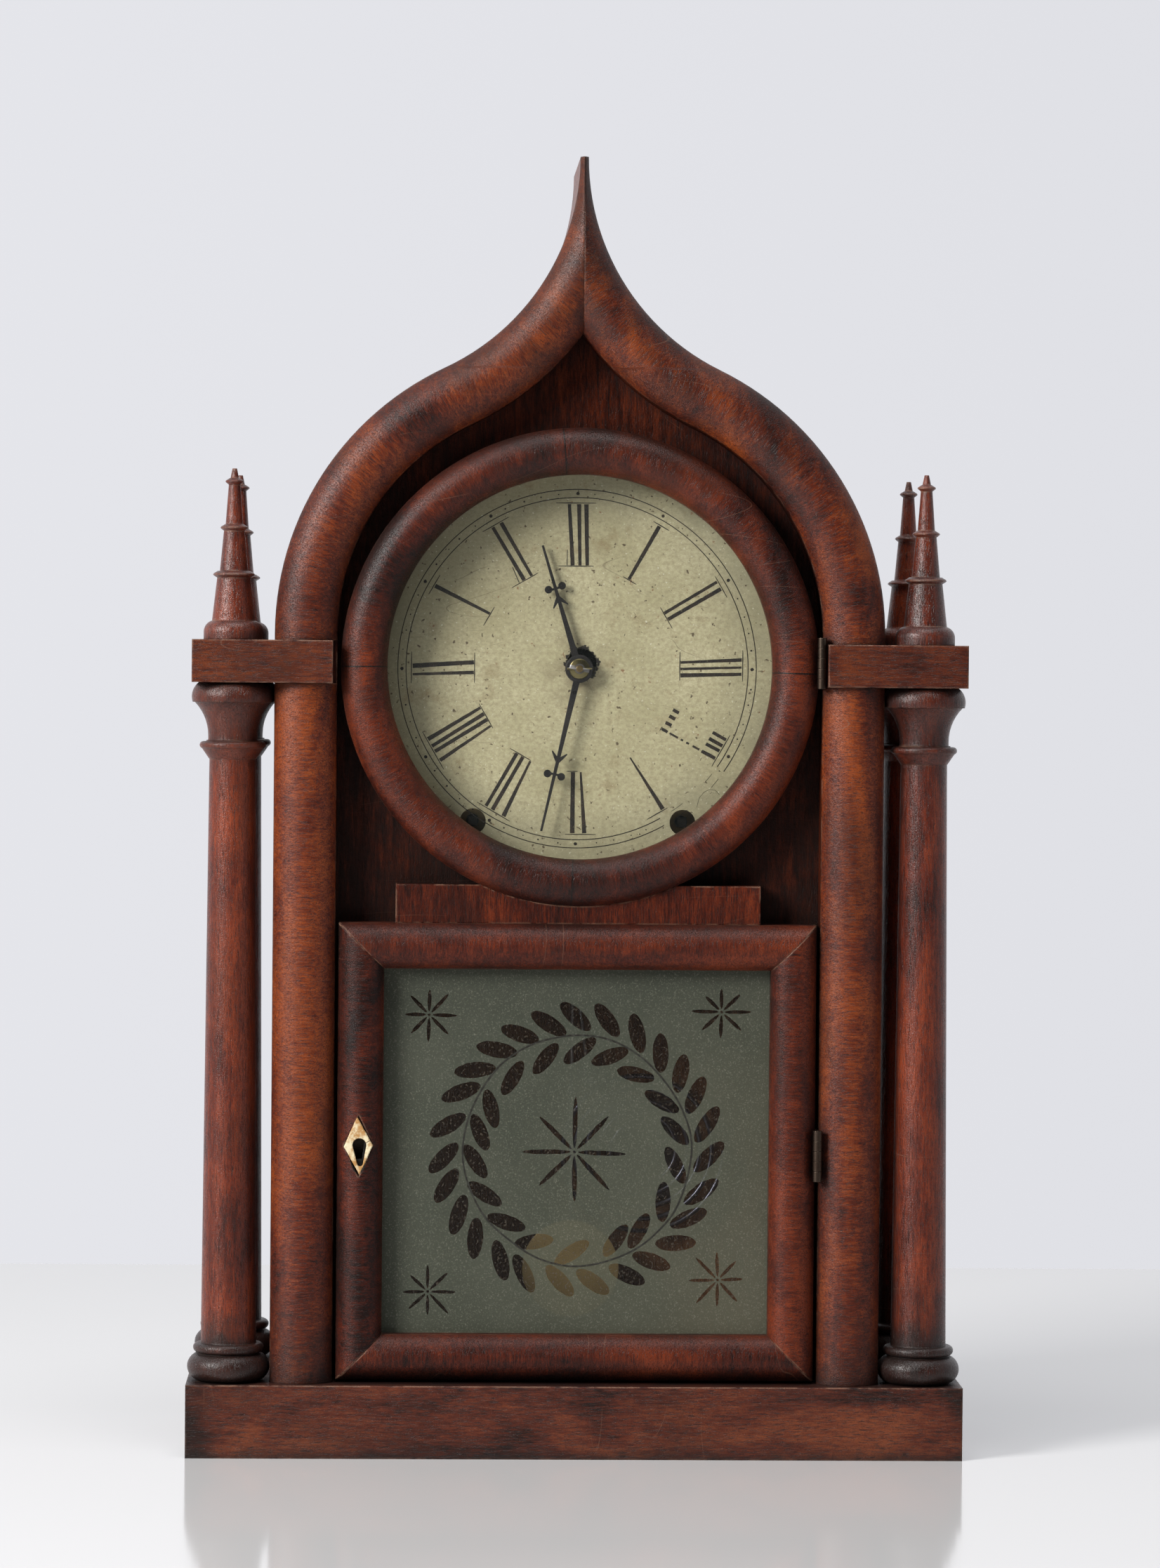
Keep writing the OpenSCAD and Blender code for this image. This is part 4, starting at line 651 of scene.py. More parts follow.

# %% [markdown]
# ## The hub
# A grey pewter pin goes through the end of the minute hand's arbor, over an olive brass washer. Pin
# and washer are one node, so two masks give them two metals: near the axis, and along a line that
# leans as the pin does. Behind the dial's hole, the front plate and the hour wheel are painted near
# black as painted shade, which fades out where nobody sees it.

# %% Hub, washer and painted shade behind the hole
hub = middle_of("hand_pin")
pin_lean = math.radians(-13)
pin_and_washer = metal("pin_and_washer", (0.36, 0.31, 0.14), (0.15, 0.12, 0.06), 0.5)
tree = pin_and_washer.node_tree
across_pin = (-math.sin(pin_lean), 0, math.cos(pin_lean))
beside_pin = vector_maths(tree, "DOT_PRODUCT", off_axis(tree, hub.x, hub.z), across_pin, "Value")
on_arbor = spread(tree, away_from(tree, hub.x, hub.z), 0.0024, 0.0020)
on_pin = spread(tree, maths(tree, "ABSOLUTE", beside_pin), 0.0009, 0.0007)
overlay(pin_and_washer, maths(tree, "MAXIMUM", on_arbor, on_pin), (0.36, 0.35, 0.34))
dress(pin_and_washer, "hand_pin")

brass_with_painted_hub_shade = metal("brass_with_painted_hub_shade", clean_brass, dull_brass, 0.5)
tree = brass_with_painted_hub_shade.node_tree
# Painted shade: near black round the hub, where the dial's hole looks into the case.
overlay(brass_with_painted_hub_shade, spread(tree, away_from(tree, hub.x, hub.z), 0.022, 0.014), (0.012, 0.009, 0.006))
dress(brass_with_painted_hub_shade, "movement_plate_front", "hour_wheel")
print("hub at", [round(v, 4) for v in hub])

# %% [markdown]
# ## The dial's paint
# The dial is a square of tin with cream paint, which dried with the weave of a cloth in it. It is
# yellow-grey and darker towards the rim, and painted shade, the ring's shadow, darkens it towards
# the upper left. It has brown stains, black and rusty specks, a few scratches, and paint chipped
# off round the hole. A clean cream disc would look new, so each of these is a coat of its own, from
# the largest to the finest.

# %% Dial paint: cream ground, weave, rim and painted ring shadow
dial_at = middle_of("dial_plate")
print_x, print_z = dial_at.x - 0.0008, dial_at.z
dial_paint, tree, shader = material("dial_paint", (0.6, 0.55, 0.4))
spot = on_object(tree)
cloud = noise(tree, spot, 28, 4.0, 0.6)
cream = mixed(tree, spread(tree, cloud, 0.32, 0.70), (0.43, 0.395, 0.230), (0.575, 0.530, 0.335))
weave = clouds(tree, stretched(tree, spot, (480, 1, 620)), 1.0, 4.0, 0.8, 0.40, 0.62, 0.0, 0.68)
out_r = away_from(tree, print_x, print_z)
rim = times(tree, spread(tree, out_r, 0.060, 0.088),
            clouds(tree, spot, 34, 3.0, 0.5, 0.35, 0.65, 0.25, 0.85))
apart = axes(tree, spot)
# Painted shade: the ring's shadow, darkening the dial towards the upper left.
to_corner = minus(tree, times(tree, apart["Z"], 0.8), apart["X"])
ragged = clouds(tree, spot, 42, 4.0, 0.6, 0.3, 0.7, -0.012, 0.012)
painted_ring_shadow = spread(tree, plus(tree, to_corner, ragged), 0.285, 0.385, 0.0, 0.42)
rubbed = times(tree, spread(tree, out_r, 0.020, 0.008), clouds(tree, spot, 95, 4.0, 0.5, 0.40, 0.66))
aged_and_shaded = coated(tree, cream, (weave, (0.29, 0.255, 0.145)), (rim, (0.25, 0.235, 0.150)),
              (painted_ring_shadow, (0.19, 0.165, 0.095)), (rubbed, (0.23, 0.19, 0.11)))
print("dial's ground painted round", round(print_x, 4), round(print_z, 4))

# %% Dial paint: stains, specks, scratches and the chipped hole
hole_x, hole_z = 0.0012, hub.z + 0.0024
stains = clouds(tree, stretched(tree, spot, offset=(0.7, 0, 0.3)), 75, 4.0, 0.65, 0.60, 0.74, 0.0, 0.5)
specks = clouds(tree, spot, 430, 3.0, 0.5, 0.655, 0.70, 0.0, 0.9)
rust = clouds(tree, stretched(tree, spot, offset=(5, 2, 1)), 240, 3.0, 0.6, 0.69, 0.74, 0.0, 0.8)
lines = hairlines(tree, stretched(tree, spot, (16, 1, 70), rotation=(0, 0.9, 0)), 0.004)
scratches = times(tree, lines, clouds(tree, spot, 31, 3.0, 0.5, 0.52, 0.62, 0.0, 0.55))
ragged = clouds(tree, spot, 520, 3.0, 0.6, 0.35, 0.65, -0.0011, 0.0011)
chipped = spread(tree, plus(tree, away_from(tree, hole_x, hole_z), ragged), 0.0076, 0.0072)
pale_specks = clouds(tree, stretched(tree, spot, offset=(3, 1, 2)), 800, 2.0, 0.5, 0.66, 0.72, 0.0, 0.7)
tone = coated(tree, aged_and_shaded, (stains, (0.21, 0.145, 0.065)), (specks, (0.075, 0.050, 0.028)),
              (rust, (0.20, 0.085, 0.035)), (scratches, (0.13, 0.105, 0.06)),
              (chipped, (0.020, 0.016, 0.012)), (pale_specks, (0.70, 0.68, 0.52)))
fill(tree, shader, {"Base Color": tone, "Roughness": 0.52, "Specular IOR Level": 0.35})
bumped(tree, shader, cloud, 0.12, 0.0002)
dress(dial_paint, "dial_plate")
print("dial_paint:", len(tree.nodes), "nodes")

# %% [markdown]
# ## The dial's printing
# The numerals were brushed by hand. They could be text, but no typeface wavers like this. Each
# stroke is listed by its distance from the hour's own middle line at the inner end and at the outer
# end, with its width at both, in millimetres, and is laid a hair in front of the paint. A serif is
# listed by its end, 0 for the inner one, and by where it starts and stops. Four o'clock was rubbed
# away by fingers that opened the door: only the ends of its strokes are left.

# %% Strokes and serifs of the twelve numerals
numerals = {
    1: [(-0.4, -0.7, 1.15, 1.5)],
    2: [(-2.4, -3.0, 1.15, 1.1), (0.74, 0.55, 1.3, 1.45)],
    3: [(-3.2, -4.5, 0.9, 1.3), (-0.3, -1.2, 0.95, 0.85), (2.5, 1.8, 1.5, 1.15)],
    4: [(-5.9, -6.3, 1.2, 1.2), (-2.7, -3.2, 1.3, 1.3), (0.6, -0.6, 1.2, 1.3), (3.9, 3.2, 1.1, 1.3)],
    5: [(-1.0, -2.4, 0.5, 1.6)],
    6: [(1.5, 1.6, 1.5, 1.7), (-1.9, -3.7, 0.7, 1.6)],
    7: [(4.0, 4.0, 1.35, 1.2), (0.94, 0.7, 1.3, 1.5), (-2.8, -4.9, 0.8, 1.6)],
    8: [(6.1, 5.4, 1.1, 1.6), (3.0, 1.9, 1.4, 1.3), (0.1, -0.8, 1.4, 1.3), (-3.1, -5.3, 0.8, 1.4)],
    9: [(2.5, 0.7, 1.5, 1.7), (-2.0, -3.0, 1.3, 0.9)],
    10: [(1.4, -0.25, 1.0, 1.5)],
    11: [(-1.1, -1.7, 1.45, 1.2), (2.7, 2.5, 1.1, 1.5)],
    12: [(-2.4, -4.1, 1.5, 1.2), (0.8, 0.2, 1.1, 1.5), (4.0, 3.4, 1.3, 1.6)],
}
serifs = {
    1: [(0, -3.2, 3.6), (1, -4, 4)], 2: [(0, -5.5, 5.2), (1, -5.5, 5.2)],
    3: [(0, -7.8, 4.8), (1, -8.8, 5)], 4: [(0, 3, 5), (1, -9, 7)], 5: [(1, -4.5, 6)],
    6: [(0, -0.5, 4.3), (1, -8.8, 4.8)], 7: [(0, -3, 7.8), (1, -8.5, 8.2)],
    8: [(0, -4.5, 8), (1, -9.5, 9.5)], 9: [(0, -6.5, 6.8), (1, -7, 7)],
    10: [(0, -4.6, 5), (1, -5, 5)], 11: [(0, -7.5, 5.8), (1, -6.6, 6.6)],
    12: [(0, -8.7, 6.8), (1, -10, 7.8)],
}
print(sum(map(len, numerals.values())), "strokes and", sum(map(len, serifs.values())), "serifs")

# %% The brush
ink_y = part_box("dial_plate")[0].y - 0.00004
inner_r, outer_r = 45.6, 72.6
hand = random.Random(12)
ink = bmesh.new()


def on_dial(turn_degrees, out_mm, along_mm=0.0):
    """A point on the dial: out from the centre at that clock angle, and along clockwise."""
    turn = math.radians(turn_degrees)
    x = out_mm * math.sin(turn) + along_mm * math.cos(turn)
    z = out_mm * math.cos(turn) - along_mm * math.sin(turn)
    return Vector((print_x + x * mm, 0, print_z + z * mm))


def brushed(points, widths, waver=0.05):
    """Paints a line through the points, with its own width at each. Wide lines waver."""
    edges = []
    for i, point in enumerate(points):
        ahead = points[min(i + 1, len(points) - 1)] - points[max(i - 1, 0)]
        across = Vector((-ahead.z, 0, ahead.x)).normalized()
        pair = []
        for side in (-0.5, 0.5):
            off = side * widths[i] + hand.uniform(-waver, waver) * (widths[i] > 0.4)
            corner = point + across * off * mm
            pair.append(ink.verts.new((corner.x, ink_y, corner.z)))
        edges.append(pair)
    for (a, b), (c, d) in zip(edges, edges[1:]):
        ink.faces.new((a, b, d, c))


def stroke(hour, first, last, widths, start=inner_r, end=outer_r, steps=18):
    """One stroke of a numeral, or the part of it that lies between two radii."""
    pressed = 1.22
    points, wide = [], []
    for i in range(steps + 1):
        out = start + (end - start) * i / steps
        part = (out - inner_r) / (outer_r - inner_r)
        points.append(on_dial(30 * hour, out, first + (last - first) * part))
        wide.append(pressed * (widths[0] + (widths[1] - widths[0]) * part))
    brushed(points, wide)


def arc_line(out_mm, width, start, end, steps):
    points = [on_dial(start + (end - start) * i / steps, out_mm) for i in range(steps + 1)]
    brushed(points, [width] * (steps + 1))


def dot(turn_degrees, out_mm, size_mm, corners=14):
    middle = on_dial(turn_degrees, out_mm)
    rim = []
    for i in range(corners):
        turn = 2 * math.pi * i / corners
        reach = size_mm * mm * hand.uniform(0.88, 1.1)
        x, z = middle.x + reach * math.cos(turn), middle.z + reach * math.sin(turn)
        rim.append(ink.verts.new((x, ink_y, z)))
    ink.faces.new(rim)


print("the brush paints at y =", round(ink_y, 5))

# %% The numerals, with what is left of four o'clock
rubbed_hour = 4
serif_widths = [0.26, 0.38, 0.44, 0.44, 0.42, 0.36, 0.26]
for hour, strokes in numerals.items():
    left_over = [(inner_r, 48.6, 4), (65.8, outer_r, 5)] if hour == rubbed_hour else [(inner_r, outer_r, 18)]
    for first, last, inner_width, outer_width in strokes:
        for start, end, steps in left_over:
            stroke(hour, first, last, (inner_width, outer_width), start, end, steps)
for start, end in ((49.6, 53.8), (55.2, 56.4), (58.0, 59.4), (61.2, 64.6)):
    stroke(rubbed_hour, 3.9, 3.2, (0.7, 0.8), start, end, 5)
stroke(12, -4.9, -4.5, (0.3, 0.2), inner_r, 52.5, 6)
stroke(11, -3.6, -0.6, (0.3, 0.3), inner_r, 53.0, 6)
for hour, ends in serifs.items():
    for outside, start, end in ends:
        out = outer_r + 0.5 if outside else inner_r - 0.3
        brushed([on_dial(30 * hour, out, start + (end - start) * i / 6) for i in range(7)], serif_widths)
print("numerals:", len(ink.faces), "faces")

# %% The minute track, rubbed away beside the fourth hour, and one scratch
rubbed_from, rubbed_to = 124.5, 150.5
rubbed_minutes = (22, 23, 24, 25)
dots_r = 77.3
for track_r in (75.5, 79.1):
    arc_line(track_r, 0.4, rubbed_to, 360 + rubbed_from, 300)
    arc_line(track_r, 0.2, 127.5, 131.0, 5)
    arc_line(track_r, 0.2, 141.5, 146.0, 6)
for minute in range(60):
    if minute in rubbed_minutes:
        continue
    if minute % 5 == 0:
        dot(6 * minute + hand.uniform(-1.2, 0.3), dots_r, 0.76)
    else:
        dot(6 * minute + hand.uniform(-0.8, 0.6), dots_r, hand.uniform(0.26, 0.44))
scratch = [(52.5, 285.0), (53.6, 289.2), (55.8, 291.9), (58.2, 293.0), (60.8, 292.6), (62.6, 290.6)]
brushed([Vector((x * mm, 0, z * mm)) for x, z in scratch], [0.16] * len(scratch))
print("with the track:", len(ink.faces), "faces")

# %% The ink, and the printing as a piece
def turned_front(shape):
    """Turns each face of a flat shape to the front."""
    for face in shape.faces:
        face.normal_update()
        if face.normal.y > 0:
            face.normal_flip()


def piece_of(shape, name, finish):
    """Makes a piece of what was drawn, with one finish."""
    mesh = bpy.data.meshes.new(name)
    shape.to_mesh(mesh)
    shape.free()
    mesh.materials.append(finish)
    return put(name, mesh)


dial_ink, tree, shader = material("dial_ink", (0.05, 0.035, 0.025))
spot = on_object(tree)
thin = clouds(tree, spot, 260, 3.0, 0.6, 0.4, 0.7)
fill(tree, shader, {"Base Color": mixed(tree, thin, (0.010, 0.007, 0.005), (0.034, 0.021, 0.012)),
                    "Alpha": clouds(tree, spot, 1300, 3.0, 0.7, 0.33, 0.40, 0.35, 1.0), "Roughness": 0.5})
turned_front(ink)
printing = piece_of(ink, "dial_printing", dial_ink)
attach(printing, "case")
print("dial printing:", len(printing.data.polygons), "faces")

# %% [markdown]
# ## Glass
# The dial's pane is clear. The tablet's pane is frosted, and its wreath and stars were cut through
# the frost, so that the dark case, the bob and the gong show in them. Refraction would be the
# textbook way, but old glass is thin and hardly tinted, so an Alpha mix of a dark skin over what
# lies behind is closer to it and less noisy. The frost lets the lamps' light through to what lies
# behind: its Alpha is lower for shadow rays, as ground glass scatters light but doesn't stop it.

# %% Clear glass, cut glass and the polished line
clear_pane, tree, shader = material("clear_pane", (0.9, 0.93, 0.92))
fill(tree, shader, {"Base Color": (0.08, 0.09, 0.085), "Roughness": 0.04, "Alpha": 0.05, "IOR": 1.5})
dress(clear_pane, "dial_glass")


def speckled_glass(name, shown, speckle, tones, alphas, roughness):
    """Specked glass under a dark skin, whose colour and clearness go from one value to the other in the
    specks.
    """
    made, tree, shader = material(name, shown)
    speck = clouds(tree, on_object(tree), *speckle)
    fill(tree, shader, {"Base Color": mixed(tree, speck, *tones),
                        "Alpha": spread(tree, speck, 0.0, 1.0, *alphas), "Roughness": roughness})
    return made


# Painted shade: the cuts and the polished line carry a dark brown skin, which darkens the case seen through
# them.
cut_pane = speckled_glass("cut_pane", (0.2, 0.17, 0.14), (900, 2.0, 0.6, 0.56, 0.66),
                          ((0.012, 0.0075, 0.005), (0.060, 0.048, 0.034)), (0.34, 0.75), 0.18)
polished_line = speckled_glass("polished_line", (0.2, 0.18, 0.16), (500, 3.0, 0.6, 0.45, 0.72),
                               ((0.016, 0.014, 0.011), (0.055, 0.056, 0.045)), (0.95, 0.7), 0.3)
print("clear and cut glass ready")

# %% Frosted glass
frosted_pane, tree, shader = material("frosted_pane", (0.4, 0.45, 0.4))
spot = on_object(tree)
cold = mixed(tree, clouds(tree, spot, 22, 4.0, 0.6, 0.3, 0.7), (0.046, 0.053, 0.038), (0.068, 0.074, 0.054))
apart = axes(tree, spot)
ragged = clouds(tree, spot, 14, 3.0, 0.5, 0.3, 0.7, -0.03, 0.03)
to_low_right = plus(tree, minus(tree, apart["X"], apart["Z"]), ragged)
tone = coated(tree, cold,
              (spread(tree, to_low_right, -0.17, 0.02, 0.0, 0.6), (0.100, 0.098, 0.066)),
              (clouds(tree, spot, 1350, 3.0, 0.8, 0.54, 0.72), (0.17, 0.175, 0.135)))
shadow_ray = place(tree, "ShaderNodeLightPath").outputs["Is Shadow Ray"]
fill(tree, shader, {"Base Color": tone, "Alpha": spread(tree, shadow_ray, 0.0, 1.0, 0.84, 0.35),
                    "Roughness": 0.55, "Specular IOR Level": 0.25})
bumped(tree, shader, noise(tree, spot, 1500, 2.0), 0.3, 0.0002)
print("frosted_pane:", len(tree.nodes), "nodes")

# %% [markdown]
# ## The frosted tablet
# The pane was ground all over, then a small wheel cut leaves and rays through the ground skin, one
# touch for each. Boolean cuts could do the same, but 90 of them are slow and fragile. The pattern
# is many copies of one touch, which suits Instance on Points: each point carries its turn, length
# and width. The touches' outlines and the pane's edge go to Fill Curve together, which gives the
# skin with holes, and the outlines alone fill the holes with bare glass. A little noise on the
# outlines gives the ragged edge that the wheel left. A leaf is listed by its middle and its turn in
# degrees, a star by its middle, its rays' reaches and their width, in millimetres.

# %% The touches of the cutting wheel
outer_leaves = [
    (-0.6, 192.9, -42), (13.3, 191.4, -55), (26.6, 185.7, -77), (37.0, 177.1, -89), (45.9, 168.1, 79),
    (52.6, 158.6, 66), (57.7, 145.7, 58), (58.6, 131.4, 45), (55.4, 116.0, 35), (49.9, 104.3, 23),
    (44.3, 93.3, 2), (33.7, 85.3, -19), (22.9, 79.3, -25), (8.0, 76.0, -35), (-6.6, 76.4, -48),
    (-22.4, 79.6, -64), (-32.7, 85.3, -76), (-43.9, 95.0, 86), (-51.3, 105.3, 73), (-56.7, 118.1, 57),
    (-58.1, 130.3, 46), (-56.3, 144.7, 31), (-50.7, 159.3, 21), (-44.6, 169.1, 6), (-35.0, 178.1, -10),
    (-25.0, 185.0, -18), (-12.4, 189.7, -32),
]
inner_leaves = [
    (1.4, 177.9, 38), (14.7, 175.4, 20), (26.1, 167.6, -13), (37.7, 155.7, -30), (43.6, 142.9, -45),
    (43.9, 127.7, -64), (38.6, 111.4, 88), (28.0, 98.6, 62), (17.8, 94.3, 54), (-1.4, 88.9, 34),
    (-18.1, 93.6, 8), (-30.3, 102.1, -18), (-39.9, 114.6, -33), (-44.1, 128.9, -57),
    (-42.2, 141.7, -68), (-37.4, 152.1, -76), (-28.1, 165.7, 60), (-13.6, 174.3, 52),
]
stars = [
    (-0.6, 133.3, (24.3, 21.6, 22.7, 22.8, 21.9, 21.4, 23.0, 21.8), 2.15),
    (-64.9, 193.3, (11.0, 12.3, 12.2, 12.0, 12.0, 11.4, 10.6, 11.6), 1.65),
    (63.7, 195.3, (10.2, 11.2, 13.0, 11.9, 11.4, 11.8, 13.2, 9.8), 1.65),
    (-64.6, 71.4, (11.6, 12.0, 12.2, 13.2, 10.2, 11.2, 10.8, 10.4), 1.5),
    (63.0, 77.1, (12.2, 11.6, 11.0, 12.8, 11.6, 13.8, 12.6, 13.8), 1.5),
]
wheel_hand = random.Random(4)
touches = []
for leaves, reach, girth in ((outer_leaves, 18.0, 7.0), (inner_leaves, 17.4, 6.6)):
    touches += [(x, z, turn, reach + wheel_hand.uniform(-0.8, 0.5), girth) for x, z, turn in leaves]
for x, z, reaches, girth in stars:
    eye = 0.9 + 0.35 * girth
    for i, reach in enumerate(reaches):
        turn = 90 - 45 * i + wheel_hand.uniform(-2.5, 2.5)
        out = (eye + reach) / 2
        touches.append((x + out * math.cos(math.radians(turn)), z + out * math.sin(math.radians(turn)),
                        turn, reach - eye, girth))
    touches.append((x, z, 0, 1.3, 1.1))
print(len(touches), "touches of the wheel")

# %% Tree that cuts the pane: the outlines of the touches and of the pane
cutting, given, made = new_tree("cut_pane", "Geometry", {
    "Geometry": ("Geometry", None), "Width": ("Float", 0.17), "Height": ("Float", 0.16),
    "Thickness": ("Float", 0.002), "Middle height": ("Float", 0.133), "Raggedness": ("Float", 0.0005),
    "Ground skin": ("Material", None), "Cut glass": ("Material", None), "Bare glass": ("Material", None),
}, {"Geometry": "Geometry"})


def named(key):
    return result(cutting, "GeometryNodeInputNamedAttribute", {"Name": key}, data_type="FLOAT")


circle = result(cutting, "GeometryNodeCurvePrimitiveCircle", {"Resolution": 40, "Radius": 0.5})
rotation = result(cutting, "ShaderNodeCombineXYZ", {"Z": named("turn")})
scale = result(cutting, "ShaderNodeCombineXYZ", {"X": named("reach"), "Y": named("girth"), "Z": 1.0})
copies = result(cutting, "GeometryNodeInstanceOnPoints", {
    "Points": given["Geometry"], "Instance": circle, "Rotation": rotation, "Scale": scale})
outlines = result(cutting, "GeometryNodeRealizeInstances", {0: copies})
wobble = place(cutting, "ShaderNodeTexNoise", {"Scale": 1400.0, "Detail": 2.0, "Roughness": 0.6})
centred = vector_maths(cutting, "SUBTRACT", wobble.outputs["Color"], (0.5, 0.5, 0.5))
pushed = result(cutting, "ShaderNodeVectorMath", {0: centred, "Scale": given["Raggedness"]},
                operation="SCALE")
in_plane = vector_maths(cutting, "MULTIPLY", pushed, (1, 1, 0))
outlines = result(cutting, "GeometryNodeSetPosition", {"Geometry": outlines, "Offset": in_plane})
edge = result(cutting, "GeometryNodeCurvePrimitiveQuadrilateral", {
    "Width": given["Width"], "Height": given["Height"]})
lift = result(cutting, "ShaderNodeCombineXYZ", {"Y": given["Middle height"]})
edge = result(cutting, "GeometryNodeTransform", {"Geometry": edge, "Translation": lift})
print("outlines:", len(cutting.nodes), "nodes")

# %% Tree that cuts the pane: ground skin, bare cuts and the glass behind them
def joined(tree, *shapes):
    join = tree.nodes.new("GeometryNodeJoinGeometry")
    for shape in shapes:
        tree.links.new(shape, join.inputs[0])
    return join.outputs[0]


def finished(tree, shape, finish):
    return result(tree, "GeometryNodeSetMaterial", {"Geometry": shape, "Material": finish})


skin = result(cutting, "GeometryNodeFillCurve", {"Curve": joined(cutting, edge, outlines)}, mode="TRIANGLES")
# The holes get the cut glass, whose dark skin is painted shade.
bare = result(cutting, "GeometryNodeFillCurve", {"Curve": outlines}, mode="NGONS")
slab = result(cutting, "GeometryNodeFillCurve", {"Curve": edge}, mode="NGONS")
backwards = result(cutting, "ShaderNodeCombineXYZ", {"Z": times(cutting, given["Thickness"], -1.0)})
deep = result(cutting, "GeometryNodeExtrudeMesh", {
    "Mesh": slab, "Offset": backwards, "Offset Scale": 1.0, "Individual": False})
deep = result(cutting, "GeometryNodeFlipFaces", {0: deep})
parts = joined(cutting, finished(cutting, deep, given["Bare glass"]),
               finished(cutting, bare, given["Cut glass"]),
               finished(cutting, skin, given["Ground skin"]))
fill(cutting, made, {0: result(cutting, "GeometryNodeRealizeInstances", {0: parts})})
print("cut_pane:", len(cutting.nodes), "nodes")

# %% The cut pane, stood upright in the door
def grown(name, mesh, tree, settings):
    """Runs a geometry tree on a mesh and returns the plain mesh that comes out."""
    seed = put(name, mesh)
    live = seed.modifiers.new(name, "NODES")
    live.node_group = tree
    sockets = {item.name: item.identifier for item in tree.interface.items_tree
               if item.item_type == "SOCKET" and item.in_out == "INPUT"}
    for key, value in settings.items():
        live[sockets[key]] = value
    seed.update_tag()
    graph = bpy.context.evaluated_depsgraph_get()
    plain = bpy.data.meshes.new_from_object(seed.evaluated_get(graph))
    bpy.data.objects.remove(seed)
    return plain


pane_low, pane_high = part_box("tablet_glass")
marks = bpy.data.meshes.new("wheel_marks")
marks.from_pydata([(x * mm, z * mm, 0) for x, z, *_ in touches], [], [])
for key, values in (("turn", [math.radians(t[2]) for t in touches]), ("reach", [t[3] * mm for t in touches]),
                    ("girth", [t[4] * mm for t in touches])):
    marks.attributes.new(key, "FLOAT", "POINT").data.foreach_set("value", values)
pane_mesh = grown("cut_tablet", marks, cutting, {
    "Width": pane_high.x - pane_low.x, "Height": pane_high.z - pane_low.z,
    "Thickness": pane_high.y - pane_low.y, "Middle height": (pane_high.z + pane_low.z) / 2,
    "Raggedness": 0.0007, "Ground skin": frosted_pane, "Cut glass": cut_pane, "Bare glass": clear_pane})
pane_mesh.transform(Matrix(((1, 0, 0, 0), (0, 0, -1, pane_low.y), (0, 1, 0, 0), (0, 0, 0, 1))))
tablet = put("cut_tablet", pane_mesh)
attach(tablet, "door")
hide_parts("tablet_glass")
print("tablet:", len(pane_mesh.polygons), "faces,", [m.name for m in pane_mesh.materials])

# %% [markdown]
# ## The wreath's stem
# Between the two rows of leaves runs a fine polished line, a little uneven, as it was followed by
# eye. A circle would be too perfect, so a closed curve goes through given points, and a
# narrow band follows it a hair in front of the frost. Each span is a cubic that bends towards its
# neighbours, so the line has no corners.

# %% Stem
stem_points = [(2.6, 184.7), (15.0, 182.6), (28.0, 175.6), (39.0, 164.4), (46.6, 152.4), (50.9, 138.6),
               (49.6, 124.0), (44.4, 108.6), (36.0, 98.0), (26.0, 90.2), (12.0, 84.6), (-2.0, 82.9),
               (-16.0, 86.2), (-28.0, 93.6), (-39.4, 104.0), (-46.6, 117.4), (-49.7, 131.0),
               (-48.0, 145.4), (-42.4, 159.0), (-33.4, 171.4), (-22.0, 179.4), (-10.0, 183.4)]
stem_half, stem_y = 0.4, pane_low.y - 0.00005
stem = bmesh.new()


def smooth_loop(points, per_span):
    """A closed curve through the points, each span bent by its neighbours."""
    out = []
    for i in range(len(points)):
        a, b, c, d = [Vector(points[(i + k - 1) % len(points)]) for k in range(4)]
        for s in range(per_span):
            t = s / per_span
            bend = (c - a) * t + (2 * a - 5 * b + 4 * c - d) * t * t + (3 * b - a - 3 * c + d) * t ** 3
            out.append(0.5 * (2 * b + bend))
    return out


loop = smooth_loop(stem_points, 8)
pairs = []
for i, point in enumerate(loop):
    ahead = loop[(i + 1) % len(loop)] - loop[i - 1]
    across = Vector((-ahead.y, ahead.x)).normalized() * stem_half
    pairs.append([stem.verts.new(((point.x + s * across.x) * mm, stem_y, (point.y + s * across.y) * mm))
                  for s in (-1, 1)])
for (a, b), (c, d) in zip(pairs, pairs[1:] + pairs[:1]):
    stem.faces.new((a, c, d, b))
turned_front(stem)
stem_piece = piece_of(stem, "wreath_stem", polished_line)
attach(stem_piece, "door")
print("stem:", len(stem_piece.data.polygons), "faces")

# %% [markdown]
# ## The gong's wire
# The gong is one blued wire, wound outwards from the block that clamps it. In the solids it has six
# flat sides, to keep their faces few. A spiral curve could be drawn by hand, but the wire follows a
# rule, a radius that grows with the turn. So its route is laid as a chain of points by that rule,
# and a small tree turns the chain into a curve and sweeps a round section along it.

# %% Tree that draws a wire along a chain of points
drawing, given, made = new_tree("wire_along_path", "Geometry", {
    "Geometry": ("Geometry", None), "Radius": ("Float", 0.0012), "Sides": ("Int", 14),
    "Finish": ("Material", None),
}, {"Geometry": "Geometry"})
path = result(drawing, "GeometryNodeMeshToCurve", {0: given["Geometry"]})
section = result(drawing, "GeometryNodeCurvePrimitiveCircle", {
    "Resolution": given["Sides"], "Radius": given["Radius"]})
swept = result(drawing, "GeometryNodeCurveToMesh", {
    "Curve": path, "Profile Curve": section, "Fill Caps": True})
smooth = result(drawing, "GeometryNodeSetShadeSmooth", {"Geometry": swept, "Shade Smooth": True})
real = result(drawing, "GeometryNodeRealizeInstances", {0: smooth})
fill(drawing, made, {0: finished(drawing, real, given["Finish"])})
print("wire_along_path:", len(drawing.nodes), "nodes")

